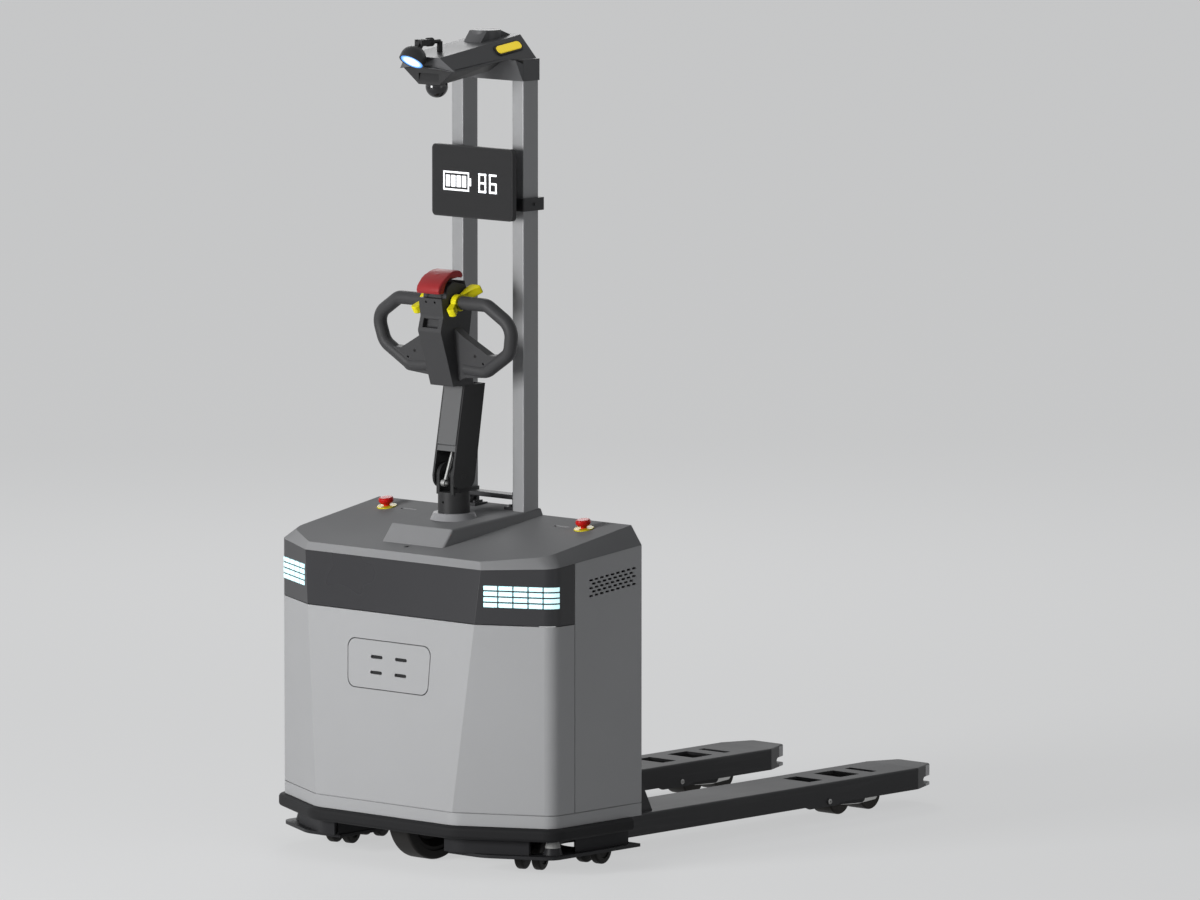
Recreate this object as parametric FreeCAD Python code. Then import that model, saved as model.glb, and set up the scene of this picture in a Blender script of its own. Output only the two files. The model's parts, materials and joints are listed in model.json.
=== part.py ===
import FreeCAD, Part
import math
import os

# Autonomous pallet truck with a manual tiller, a sensor mast and two lifting forks.
# Millimetres. +Z is up, the forks point along +Y, the front cover faces -Y.
# The model is laid out with Y = 0 at the back of the body and Z = 0 on the floor. put() then
# moves every sub-part so that the origin is the bottom centre of the whole machine.

V = FreeCAD.Vector
X_AXIS, Y_AXIS, Z_AXIS = V(1, 0, 0), V(0, 1, 0), V(0, 0, 1)

# body plan: flat back and sides, two slanted facets, and a front panel that leans back
BODY_HALF_WIDTH = 466.0
FACET_START_Y = -320.0        # where side and facet planes meet
FACET_ANGLE = 27.5            # facet direction measured from +X
BODY_CORNER_RADIUS = 42.0
FRONT_Y = -441.0              # front panel at the bottom seam
FRONT_LEAN = 3.25             # degrees
WALL = 4.0                    # cover thickness
SEAM = 2.0                    # shadow gap between covers
SKIRT_CREASE_RADIUS = 90.0
PAD_GAP = 0.3                 # gap between curved faces of different bodies

# body heights
PLATE_BOTTOM, PLATE_THICKNESS = 45.0, 8.0
DECK_BOTTOM, DECK_THICKNESS = 127.0, 8.0
BUMPER_BOTTOM, BUMPER_HEIGHT, BUMPER_REACH = 91.0, 32.0, 15.0
BUMPER_BACK_Y = -45.0
SKIRT_BOTTOM, SKIRT_TOP, SKIRT_LIP = 124.0, 157.0, 12.0
BAND_BOTTOM = 628.0
SIDE_SEAM_Y = -246.0
SHOULDER_BACK_Z, SHOULDER_SLOPE = 801.0, 0.0955   # edge where the walls meet the top cover
TOP_BACK_Z, TOP_SLOPE = 848.0, 0.1636             # flat of the top cover
TOP_HALF_WIDTH, TOP_FACET_START_Y, TOP_FRONT_Y = 431.0, -310.0, -400.8
TOP_CORNER_RADIUS = 60.0

# covers: vents, lamps and the charging plate
VENT_ROWS, VENT_COLUMNS, VENT_PITCH, VENT_ROW_PITCH = 5, 8, 19.6, 9.8
VENT_LENGTH, VENT_HEIGHT, VENT_START_Y, VENT_TOP_Z = 14.0, 5.2, -192.0, 728.0
LED_COLUMNS, LED_ROWS, LED_WIDTH, LED_HEIGHT = 5, 4, 35.0, 10.6
LED_PITCH, LED_ROW_PITCH, LED_START, LED_BOTTOM_Z, LED_PROUD = 38.6, 14.2, 18.0, 671.0, 0.8
LED_SEAT, LED_GAP, STATUS_LENS_RADIUS = 2.0, 0.5, 5.0
CHARGE_WIDTH, CHARGE_HEIGHT, CHARGE_Z, CHARGE_RADIUS = 282.0, 120.0, 496.5, 24.0
CHARGE_SLOT_WIDTH, CHARGE_SLOT_HEIGHT, CHARGE_SLOT_X, CHARGE_SLOT_Z = 40.0, 8.5, 41.5, 19.5
CARRIER_DEPTH, CARRIER_MARGIN = 26.0, 10.0
ESTOP_X, ESTOP_Y, ESTOP_RADIUS, ESTOP_TRAVEL = 337.0, -71.0, 19.0, 5.0
ESTOP_RING_RADIUS, ESTOP_RING_HEIGHT, ESTOP_STEM_RADIUS = 25.0, 3.0, 8.0
HAND_SLOT_X, HAND_SLOT_LENGTH, HAND_SLOT_WIDTH = 262.0, 50.0, 11.0
HAND_SLOT_DEPTH, ESTOP_BARREL_RADIUS, COLLAR_SUNK, COLLAR_HEIGHT = 12.0, 11.0, 4.0, 18.0

# console, mast and head
CONSOLE_FRONT_Y, CONSOLE_TOP_FRONT_Y, CONSOLE_HALF, CONSOLE_BACK_HALF = -335.0, -300.0, 104.0, 126.0
CONSOLE_FOOT_FLARE, CONSOLE_TOP_Z, CONSOLE_SLOPE = 8.0, 836.6, 0.093
POST_X, POST_WIDTH, POST_DEPTH, POST_BACK, POST_WALL = 103.0, 38.8, 55.0, 4.0, 3.0
POST_TOP_Z, STEER_SHELF_DROP, BRACKET = 1984.0, 110.0, 6.0
CROSSBAR_Z, CROSSBAR_HEIGHT = 886.0, 12.0
SCREEN_WIDTH, SCREEN_HEIGHT, SCREEN_THICKNESS, SCREEN_FRONT_Y, SCREEN_Z = 274.0, 180.0, 20.0, -115.0, 1682.0
SCREEN_CORNER, SCREEN_CHAMFER, CLAMP_WALL = 12.0, 6.0, 11.0
HEAD_TOP_HALF, HEAD_FRONT_Y, HEAD_TOP_BACK_Z, HEAD_SLOPE = 58.0, -295.0, 2048.0, 0.139
HEAD_RIM_HALF, HEAD_RIM_FRONT_Y, HEAD_RIM_FRONT_Z, HEAD_RIM_BACK_Z = 97.0, -276.0, 1972.0, 1993.0
HEAD_RIM_BACK_Y, HEAD_BACK_HALF, HEAD_BACK_Z = -81.0, 124.0, 1980.0
BELLY_HALF, BELLY_FRONT_Z, BELLY_BACK_Z = 34.0, 1936.0, 1960.0
LIDAR_RADIUS, LIDAR_Y, LIDAR_TOP_Z = 36.5, -63.0, 2061.0
DOME_RADIUS, DOME_Y, DOME_Z = 28.0, -243.0, 1930.0
SPOT_RADIUS, SPOT_DEPTH, SPOT_TILT = 33.0, 42.0, 55.0
SPOT_PIVOT_Y, SPOT_PIVOT_Z = -302.0, 2042.0

# tiller
TILLER_Y, COLUMN_RADIUS, COLUMN_TOP_Z = -183.0, 40.0, 914.0
TILT_Y, TILT_Z, TILT_PIN_RADIUS = -186.0, 955.0, 9.0
STEM_HALF, STEM_DEPTH, STEM_LEAN, CHEEK = 36.0, 75.0, 10.4, 6.0
STEM_TOP_Z = 1182.0
EAR_INNER, EAR_THICKNESS, EAR_RADIUS = 19.0, 10.0, 30.0
GRIP_RADIUS, GRIP_LEAN, GRIP_LOW_Y, GRIP_LOW_Z = 17.0, 0.13, -200.0, 1224.0
GRIP_OUTER_X, GRIP_TOP_Z, GRIP_MID_Z = 221.0, 1393.0, 1330.0
HEAD_BLOCK_HALF = 42.0
THROTTLE_HUB, THROTTLE_BORE, THROTTLE_WIDTH, THROTTLE_REACH = 21.0, 12.05, 18.0, 70.0
SPIGOT_RADIUS = 12.0
BELLY_BUTTON_TRAVEL, PLUNGER_RADIUS = 8.0, 8.0
STRUT_LOWER, STRUT_LOWER_ANGLE, STRUT_UPPER = 36.0, 30.0, 175.0
STRUT_RADIUS, STRUT_ROD_RADIUS = 11.0, 4.5

# drive unit and casters
DRIVE_Y, DRIVE_RADIUS, DRIVE_WIDTH, TYRE_THICKNESS, DRIVE_AXLE_RADIUS = -280.0, 113.0, 66.0, 22.0, 18.0
BRIDGE_Z, RING_BORE, RING_OUTER, RING_HEIGHT = 240.0, 70.0, 95.0, 16.0
CASTER_RADIUS, CASTER_WHEEL_WIDTH, CASTER_SPREAD, CASTER_TRAIL = 37.0, 22.0, 23.0, 22.0
CASTER_LEG_HALF, CASTER_AXLE_RADIUS, KINGPIN_RADIUS = 9.0, 6.0, 10.0
CASTER_FRONT, CASTER_REAR = (325.0, -262.0), (362.0, -84.0)
CASTER_ANGLES = {"front_left": 14.0, "front_right": 21.0, "rear_left": 196.0, "rear_right": 8.0}
CASTER_CLEARANCE = 72.0

# forks and lift
FORK_INNER, FORK_OUTER, FORK_TOP_Z, FORK_HEIGHT = 162.0, 342.5, 99.0, 55.0
FORK_ROOT_Y, FORK_TIP_START_Y, FORK_TIP_Y = 80.0, 1196.0, 1286.0
FORK_TOP_PLATE, FORK_SIDE_PLATE = 8.0, 6.0
TIP_HALF = 54.0
CARRIAGE_THICKNESS, CARRIAGE_TOP_Z = 10.0, 400.0
RAIL_X, RAIL_WIDTH, RAIL_DEPTH, RAIL_TOP_Z, SHOE_GAP = 150.0, 30.0, 40.0, 560.0, 0.2
LIFT_TRAVEL = 120.0
ROLLER_RADIUS, ROLLER_HALF, ROLLER_Y, TANDEM_HALF_BASE = 40.0, 33.0, 1015.5, 59.5
ARM_PIVOT_Y, ARM_PIVOT_Z, ARM_PIN_RADIUS, ARM_THICKNESS = 849.0, 51.0, 9.0, 8.0
TANDEM_PLATE, ROLLER_AXLE_RADIUS = 6.0, 8.0
ROD_RADIUS, ROD_LEVER = 7.0, 26.0
RAM_RADIUS, CYLINDER_RADIUS, CYLINDER_Y, CYLINDER_TOP_Z = 16.0, 26.0, 34.0, 300.0
RUN_FIT = 0.05                # radial clearance of a running fit

TOP_FRONT_HALF, STATUS_LENS_Y, COLLAR_RADIUS, CONSOLE_EDGE = 293.0, -356.0, 60.0, 6.0
HEAD_NOSE_HALF, HEAD_NOSE_Z, HEAD_SLEEVE_Z, LIDAR_RAMP = 36.0, 1981.0, 1938.0, 16.0
LAMP_Y, LAMP_LENGTH, LAMP_WIDTH = -66.0, 84.0, 22.0
SPOT_STALK_Y, SPOT_KNURLS = -232.0, 20
THROTTLE_LOBES = (27.0, 170.0)
INNER_WALL_X, SPOOL_X, SPOOL_Y, SPOOL_RADIUS = 188.0, 424.0, -280.0, 24.0
SIDE_BOX_INSET, FRAME_PLATE, WHEEL_WELL_RADIUS, SOCKET_DEPTH = 20.0, 6.0, 150.0, 26.0
BATTERY_WIDTH, BATTERY_FRONT_Y, BATTERY_HEIGHT = 224.0, -330.0, 420.0
CONTROLLER_FINS, CONTROLLER_LENGTH = 10, 220.0
CONTROLLER_X, CONTROLLER_Y, CONTROLLER_Z = 210.0, -340.0, 455.0
TOOL_WINDOW_Y, WINDOW_HALF, HEEL_REACH, HEEL_TOP_Z = 822.0, 46.0, 120.0, 330.0
ROD_GUIDE_Y = (200.0, 480.0, 760.0)
MOUTH_Z, MOUTH_HEIGHT = 51.0, 18.0
SHOE_LOW_Z, SHOE_HIGH_Z = 110.0, 330.0

MIDDLE_Y = (FRONT_Y - BUMPER_REACH + FORK_TIP_Y) / 2
FORK_X = (FORK_INNER + FORK_OUTER) / 2
FAR = 3000.0


# ---- helpers -----------------------------------------------------------------

def put(name, *shapes):
    """Write one sub-part, moved from the body's back plane to the machine's centre."""
    solids = [s for shape in shapes for s in shape.Solids]
    part = solids[0] if len(solids) == 1 else Part.makeCompound(solids)
    part.translate(V(0, -MIDDLE_Y, 0))
    part.exportStep("parts/" + name + ".step")
    print(name, len(solids), "valid" if part.isValid() else "INVALID", round(part.Volume / 1000), "cm3")


def block(x0, x1, y0, y1, z0, z1):
    return Part.makeBox(x1 - x0, y1 - y0, z1 - z0, V(x0, y0, z0))


def rod(radius, start, end):
    return Part.makeCylinder(radius, (end - start).Length, start, end - start)


def cross_rod(radius, half, y, z, x=0.0):
    """A round bar along X, centred on x."""
    return Part.makeCylinder(radius, 2 * half, V(x - half, y, z), X_AXIS)


def fuse(first, *others):
    return first.fuse(list(others)).removeSplitter()


def mirror(shape):
    return shape.mirror(V(0, 0, 0), X_AXIS)


def turned(shape, centre, axis, degrees):
    copy = shape.copy()
    copy.rotate(centre, axis, degrees)
    return copy


def corners(points, radius=0.0):
    """Give every point of a polygon the same corner radius."""
    return [(point, radius) for point in points]


def rounded_wire(marks):
    """Closed wire through (point, radius) marks: straight runs joined by tangent arcs."""
    count = len(marks)
    starts, ends, arcs = [], [], []
    for i, (point, radius) in enumerate(marks):
        back = (marks[i - 1][0] - point).normalize()
        ahead = (marks[(i + 1) % count][0] - point).normalize()
        if radius <= 0:
            starts.append(point)
            ends.append(point)
            arcs.append(None)
            continue
        half = back.getAngle(ahead) / 2
        reach = radius / math.tan(half)
        bisector = (back + ahead).normalize()
        middle = point + bisector * (radius / math.sin(half) - radius)
        starts.append(point + back * reach)
        ends.append(point + ahead * reach)
        arcs.append(Part.Arc(starts[-1], middle, ends[-1]).toShape())
    edges = []
    for i in range(count):
        if arcs[i]:
            edges.append(arcs[i])
        start, end = ends[i], starts[(i + 1) % count]
        if (end - start).Length > 1e-6:
            edges.append(Part.makeLine(start, end))
    return Part.Wire(edges)


def plate(marks, direction):
    """Extrude a rounded polygon."""
    return Part.Face(rounded_wire(marks)).extrude(direction)


def side_profile(marks, x0, x1):
    """Extrude a (y, z, radius) outline along X from x0 to x1."""
    return plate([(V(x0, y, z), r) for y, z, r in marks], V(x1 - x0, 0, 0))


def plan_profile(marks, z0, z1):
    """Extrude an (x, y, radius) outline upwards from z0 to z1."""
    return plate([(V(x, y, z0), r) for x, y, r in marks], V(0, 0, z1 - z0))


def front_profile(marks, y0, y1):
    """Extrude an (x, z, radius) outline along Y from y0 to y1."""
    return plate([(V(x, y0, z), r) for x, z, r in marks], V(0, y1 - y0, 0))


def below(back_z, slope, floor=0.0):
    """Everything under the sloping plane z = back_z + slope * y."""
    y_low = (floor - back_z) / slope
    points = [(y_low, floor), (FAR, floor), (FAR, back_z + slope * FAR)]
    return side_profile([(y, z, 0) for y, z in points], -FAR, FAR)


def ruled(lower, upper):
    """Solid between two wires with as many corners."""
    return Part.makeLoft([lower, upper], True, True)


# ---- body plan ---------------------------------------------------------------

FACET_TAN = math.tan(math.radians(FACET_ANGLE))
LEAN_TAN = math.tan(math.radians(FRONT_LEAN))


def plan_marks(inset, front_y, crease_radius=0.0, half=BODY_HALF_WIDTH, facet_y=FACET_START_Y,
               radius=BODY_CORNER_RADIUS):
    """Body outline seen from above, moved inwards by inset (outwards if negative)."""
    side = half - inset
    shift = inset / math.cos(math.radians(FACET_ANGLE)) - inset * FACET_TAN
    knee_y = facet_y + shift
    front = front_y + inset
    crease = side - (knee_y - front) / FACET_TAN
    corner = max(radius - inset, 2.0)
    return [(side, -inset, 0), (side, knee_y, corner), (crease, front, crease_radius),
            (-crease, front, crease_radius), (-side, knee_y, corner), (-side, -inset, 0)]


def body_prism(inset, z0, z1):
    """Plan outline extruded, its front cut by the leaning front plane."""
    prism = plan_profile(plan_marks(inset, FRONT_Y - 60), z0, z1)
    foot = FRONT_Y + inset
    lean = LEAN_TAN * FAR
    keep = side_profile([(foot - lean, SKIRT_TOP - FAR, 0), (FAR, SKIRT_TOP - FAR, 0),
                         (FAR, SKIRT_TOP + FAR, 0), (foot + lean, SKIRT_TOP + FAR, 0)], -FAR, FAR)
    return prism.common(keep)


def front_face_y(z):
    return FRONT_Y + LEAN_TAN * (z - SKIRT_TOP)


def body_walls():
    """The covers' common wall before it is cut into panels."""
    tall = TOP_BACK_Z
    walls = body_prism(0, SKIRT_TOP, tall).cut(body_prism(WALL, SKIRT_TOP - 1, tall + 1))
    return walls.common(below(SHOULDER_BACK_Z, SHOULDER_SLOPE))


def facet_frame(side):
    """Crease point at mid LED height and unit vectors along and out of a facet."""
    z = LED_BOTTOM_Z
    y = front_face_y(z)
    x = BODY_HALF_WIDTH - (FACET_START_Y - y) / FACET_TAN
    angle = math.radians(FACET_ANGLE)
    return V(side * x, y, z), V(side * math.cos(angle), math.sin(angle), 0), \
        V(side * math.sin(angle), -math.cos(angle), 0)


def led_cells(side, grow, reach):
    """One bar per LED window, square to the facet."""
    origin, along, out = facet_frame(side)
    cells = []
    for column in range(LED_COLUMNS):
        for row in range(LED_ROWS):
            start = origin + along * (LED_START + column * LED_PITCH - grow)
            start = start + V(0, 0, row * LED_ROW_PITCH - grow) + out * 60
            width = along * (LED_WIDTH + 2 * grow)
            height = V(0, 0, LED_HEIGHT + 2 * grow)
            marks = corners([start, start + width, start + width + height, start + height])
            cells.append(plate(marks, out * -(60 + reach)))
    return cells


def vent_slots():
    """Staggered rows of short slots in the side panels, parallel to the shoulder."""
    slots = []
    for row in range(VENT_ROWS):
        for column in range(VENT_COLUMNS + (row + 1) % 2):
            y = VENT_START_Y + (column + 0.5 * (row % 2)) * VENT_PITCH
            z = VENT_TOP_Z - row * VENT_ROW_PITCH + SHOULDER_SLOPE * (y - VENT_START_Y)
            end = VENT_HEIGHT / 2 - 0.01
            marks = [(y, z, end), (y + VENT_LENGTH, z, end),
                     (y + VENT_LENGTH, z + VENT_HEIGHT, end), (y, z + VENT_HEIGHT, end)]
            slots.append(side_profile(marks, -FAR / 3, FAR / 3))
    return Part.makeCompound(slots)


def covers():
    """Front cover, light band, side panels, back panel and skirt."""
    walls = body_walls()
    band = BAND_BOTTOM
    front_zone = block(-FAR, FAR, -FAR, SIDE_SEAM_Y, 0, FAR)
    lower = block(-FAR, FAR, -FAR, FAR, 0, band - SEAM)
    front = walls.common(front_zone).common(lower)
    put("front_cover", front.cut(charge_outline(SEAM)))
    dark = walls.common(front_zone).cut(block(-FAR, FAR, -FAR, FAR, 0, band))
    pocket_wall = body_prism(-WALL, SKIRT_TOP, TOP_BACK_Z).cut(body_prism(LED_SEAT, 0, FAR))
    tile_wall = body_prism(-LED_PROUD, SKIRT_TOP, TOP_BACK_Z).cut(body_prism(LED_SEAT, 0, FAR))
    tiles = [status_lens()]
    for side in (-1, 1):
        dark = dark.cut([cell.common(pocket_wall) for cell in led_cells(side, LED_GAP, 60)])
        for cell in led_cells(side, 0, 60):
            tiles.append(max(cell.common(tile_wall).Solids, key=lambda s: side * s.CenterOfMass.x))
    put("light_band", dark)
    put("led_lamps", *tiles)
    side_zone = block(BODY_HALF_WIDTH - WALL, FAR, SIDE_SEAM_Y + SEAM, 0, 0, FAR)
    panel = walls.common(side_zone).cut(vent_slots())
    put("side_panel_right", panel)
    put("side_panel_left", mirror(panel))
    inner = BODY_HALF_WIDTH - WALL - SEAM
    back = walls.common(block(-inner, inner, -WALL, 0, 0, FAR))
    for x in (-RAIL_X, RAIL_X):
        back = back.cut(block(x - RAIL_WIDTH, x + RAIL_WIDTH, -FAR, FAR, 0, RAIL_TOP_Z + 20))
    back = back.cut(block(-RAIL_X, RAIL_X, -FAR, FAR, 0, CYLINDER_TOP_Z))
    put("back_panel", back)
    outer = plan_profile(plan_marks(0, FRONT_Y, SKIRT_CREASE_RADIUS), SKIRT_BOTTOM, SKIRT_TOP - SEAM)
    cavity = plan_profile(plan_marks(WALL, FRONT_Y, SKIRT_CREASE_RADIUS), 0, FAR)
    lip_low, lip_high = SKIRT_TOP - SKIRT_LIP, SKIRT_TOP + SKIRT_LIP
    lip = body_prism(WALL, lip_low, lip_high).cut(body_prism(2 * WALL, 0, FAR))
    skirt = fuse(outer.cut(cavity), lip)
    put("skirt", skirt.cut(block(-FORK_OUTER, FORK_OUTER, -2 * WALL, FAR, 0, FAR)))


def status_lens():
    z = top_z(STATUS_LENS_Y)
    return rod(STATUS_LENS_RADIUS, V(0, STATUS_LENS_Y, z - 1), V(0, STATUS_LENS_Y, z + 3))


def bumper():
    """Round-edged rubber strip around the front and sides."""
    top = BUMPER_BOTTOM + BUMPER_HEIGHT
    marks = plan_marks(-BUMPER_REACH, FRONT_Y, SKIRT_CREASE_RADIUS + BUMPER_REACH)
    strip = plan_profile(marks, BUMPER_BOTTOM, top)
    rims = [e for e in strip.Edges if abs(e.BoundBox.ZLength) < 0.01 and e.BoundBox.YMin < -20]
    strip = strip.makeFillet(BUMPER_HEIGHT * 0.3, rims)
    web = plan_profile(plan_marks(2 * WALL, FRONT_Y, SKIRT_CREASE_RADIUS), top - 10, DECK_BOTTOM)
    hole = plan_profile(plan_marks(4 * WALL, FRONT_Y, SKIRT_CREASE_RADIUS), 0, FAR)
    put("bumper", fuse(strip, web).cut(hole).cut(block(-FAR, FAR, BUMPER_BACK_Y, FAR, 0, FAR)))


def charge_outline(grow):
    """Rounded trapezoid of the charging plate, through the front panel."""
    half = CHARGE_WIDTH / 2 + grow
    taper = 6.0
    low, high = CHARGE_Z - CHARGE_HEIGHT / 2 - grow, CHARGE_Z + CHARGE_HEIGHT / 2 + grow
    marks = [(-half + taper, low, CHARGE_RADIUS), (half - taper, low, CHARGE_RADIUS),
             (half, high, CHARGE_RADIUS), (-half, high, CHARGE_RADIUS)]
    return front_profile(marks, FRONT_Y - 60, FRONT_Y + 60)


def charging():
    """Charging plate flush with the front panel, and the contact carrier behind its four slots."""
    def layer(outer, inner, outline):
        wall = body_prism(outer, SKIRT_TOP, TOP_BACK_Z).cut(body_prism(inner, 0, FAR))
        return wall.common(outline)

    cover = layer(0, WALL, charge_outline(0))
    carrier = layer(WALL, WALL + CARRIER_DEPTH, charge_outline(CARRIER_MARGIN))
    contacts = []
    for x in (-CHARGE_SLOT_X, CHARGE_SLOT_X):
        for z in (CHARGE_Z - CHARGE_SLOT_Z, CHARGE_Z + CHARGE_SLOT_Z):
            w, h = CHARGE_SLOT_WIDTH / 2, CHARGE_SLOT_HEIGHT / 2
            end = h - 0.01
            slot = [(x - w, z - h, end), (x + w, z - h, end), (x + w, z + h, end), (x - w, z + h, end)]
            cover = cover.cut(front_profile(slot, FRONT_Y - 60, FRONT_Y + 80))
            rail = block(x - w - 3, x + w + 3, FRONT_Y - 60, FRONT_Y + 80, z - h - 3, z + h + 3)
            contacts.append(layer(WALL, WALL + 5, rail))
            carrier = carrier.cut(rail.common(body_prism(0, SKIRT_TOP, TOP_BACK_Z)).cut(body_prism(WALL + 5, 0, FAR)))
    put("charge_plate", cover)
    put("charge_contacts", carrier, *contacts)


def top_z(y):
    return TOP_BACK_Z + TOP_SLOPE * y


def shoulder_z(y):
    return SHOULDER_BACK_Z + SHOULDER_SLOPE * y


def sloped_wire(marks, height, drop):
    """Project a plan outline straight up onto a sloping plane."""
    slope = height(1.0) - height(0.0)
    prism = plan_profile(marks, -FAR, FAR)
    plane = Part.makePlane(2 * FAR, 2 * FAR, V(-FAR, -FAR, 0), Z_AXIS)
    plane.rotate(V(0, 0, 0), X_AXIS, math.degrees(math.atan(slope)))
    plane.translate(V(0, 0, height(0.0) - drop))
    return prism.common(plane).Faces[0].OuterWire


def top_loft(inset):
    """Top cover form: sloping shoulders between the body outline and the flat."""
    shoulder_front = front_face_y(shoulder_z(TOP_FRONT_Y))
    low = plan_marks(inset, shoulder_front)
    high = plan_marks(inset, TOP_FRONT_Y, 0, TOP_HALF_WIDTH, TOP_FACET_START_Y, TOP_CORNER_RADIUS)
    for i, side in ((2, 1), (3, -1)):
        high[i] = (side * (TOP_FRONT_HALF - inset), TOP_FRONT_Y + inset, 0)
    return ruled(sloped_wire(low, shoulder_z, inset), sloped_wire(high, top_z, inset))


def post_box(side, grow, z0, z1):
    x = side * POST_X
    half = POST_WIDTH / 2 + grow
    return block(x - half, x + half, -POST_BACK - POST_DEPTH - grow, -POST_BACK + grow, z0, z1)


def console_top_z(y):
    return CONSOLE_TOP_Z + CONSOLE_SLOPE * (y - CONSOLE_TOP_FRONT_Y)


def console_loft():
    """Wedge between the top cover and its own flatter top, wider at the back."""
    low = [(-CONSOLE_HALF, CONSOLE_FRONT_Y), (CONSOLE_HALF, CONSOLE_FRONT_Y),
           (CONSOLE_BACK_HALF + CONSOLE_FOOT_FLARE, -1.0), (-CONSOLE_BACK_HALF - CONSOLE_FOOT_FLARE, -1.0)]
    high = [(-CONSOLE_HALF, CONSOLE_TOP_FRONT_Y), (CONSOLE_HALF, CONSOLE_TOP_FRONT_Y),
            (CONSOLE_BACK_HALF, -1.0), (-CONSOLE_BACK_HALF, -1.0)]
    lower = rounded_wire(corners([V(x, y, top_z(y)) for x, y in low]))
    upper = rounded_wire(corners([V(x, y, console_top_z(y)) for x, y in high]))
    return ruled(lower, upper)


def top_side():
    """Top cover with its hand slots, the console, and the rings set into both."""
    cover = top_loft(0).cut(top_loft(WALL))
    cover = cover.cut(below(SHOULDER_BACK_Z, SHOULDER_SLOPE))
    console = console_loft()
    rims = [e for e in console.Edges if e.BoundBox.YMax < CONSOLE_TOP_FRONT_Y + 1 and e.BoundBox.ZLength > 5]
    rims += [e for e in console.Edges if e.BoundBox.ZMin > CONSOLE_TOP_Z - 1 and e.BoundBox.YMin < -2]
    console = console.makeFillet(CONSOLE_EDGE, rims)
    for side in (-1, 1):
        hole = post_box(side, PAD_GAP, 0, FAR)
        cover, console = cover.cut(hole), console.cut(hole)
        seat = estop_frame(side)
        barrel_hole = rod(ESTOP_BARREL_RADIUS, seat - ESTOP_NORMAL * 40, seat + ESTOP_NORMAL * 10)
        cup = hand_slot(side, WALL).extrude(Z_AXIS * 60).common(below(TOP_BACK_Z, TOP_SLOPE))
        cup = cup.cut(below(TOP_BACK_Z - HAND_SLOT_DEPTH - WALL, TOP_SLOPE))
        well = hand_slot(side, 0).extrude(Z_AXIS * 60).cut(below(TOP_BACK_Z - HAND_SLOT_DEPTH, TOP_SLOPE))
        cover = fuse(cover, cup).cut([well, barrel_hole])
    bore = rod(COLUMN_RADIUS + 2, V(0, TILLER_Y, 0), V(0, TILLER_Y, FAR))
    put("top_cover", cover.cut([bore, status_lens()]))
    collar_z = console_top_z(TILLER_Y) - COLLAR_SUNK
    collar = Part.makeCone(COLLAR_RADIUS, COLLAR_RADIUS - 8, COLLAR_HEIGHT, V(0, TILLER_Y, collar_z))
    put("console", console.cut([bore, collar]))
    rings = [collar.cut(rod(COLUMN_RADIUS + 1, V(0, TILLER_Y, 0), V(0, TILLER_Y, FAR)))]
    rings += [estop_ring(side) for side in (-1, 1)]
    put("cover_rings", *rings)


def hand_slot(side, grow):
    """Oblong beside each emergency stop, as a face under the top cover."""
    x, half, end = side * HAND_SLOT_X, HAND_SLOT_LENGTH / 2 + grow, HAND_SLOT_WIDTH / 2 + grow
    z = top_z(ESTOP_Y) - 25
    marks = [(V(x + dx * half, ESTOP_Y + dy * end, z), end - 0.01)
             for dx, dy in ((-1, -1), (1, -1), (1, 1), (-1, 1))]
    return Part.Face(rounded_wire(marks))


ESTOP_NORMAL = V(0, -TOP_SLOPE, 1).normalize()


def estop_frame(side):
    return V(side * ESTOP_X, ESTOP_Y, top_z(ESTOP_Y))


def estop_ring(side):
    """Yellow ring on the cover with a barrel that guides the button's stem."""
    seat, up = estop_frame(side), ESTOP_NORMAL
    ring = rod(ESTOP_RING_RADIUS, seat, seat + up * ESTOP_RING_HEIGHT)
    barrel = rod(ESTOP_BARREL_RADIUS, seat - up * 30, seat + up * ESTOP_RING_HEIGHT)
    bore = rod(ESTOP_STEM_RADIUS + RUN_FIT, seat - up * 40, seat + up * 10)
    return fuse(ring, barrel).cut(bore)


def estops():
    """Mushroom buttons that travel along the cover's normal."""
    for side, name in ((-1, "left"), (1, "right")):
        seat, up = estop_frame(side), ESTOP_NORMAL
        base = seat + up * (ESTOP_RING_HEIGHT + ESTOP_TRAVEL + 1)
        stem = rod(ESTOP_STEM_RADIUS, seat - up * 20, base + up * 2)
        skirt = Part.makeCone(ESTOP_RADIUS - 5, ESTOP_RADIUS, 6, base, up)
        cap = rod(ESTOP_RADIUS, base + up * 6, base + up * 16)
        rim = [e for e in cap.Edges if e.isClosed() and (e.CenterOfMass - seat).dot(up) > 20]
        put("estop_button_" + name, fuse(stem, skirt, cap.makeFillet(5, rim)))


# ---- mast, head and screen ---------------------------------------------------

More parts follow.
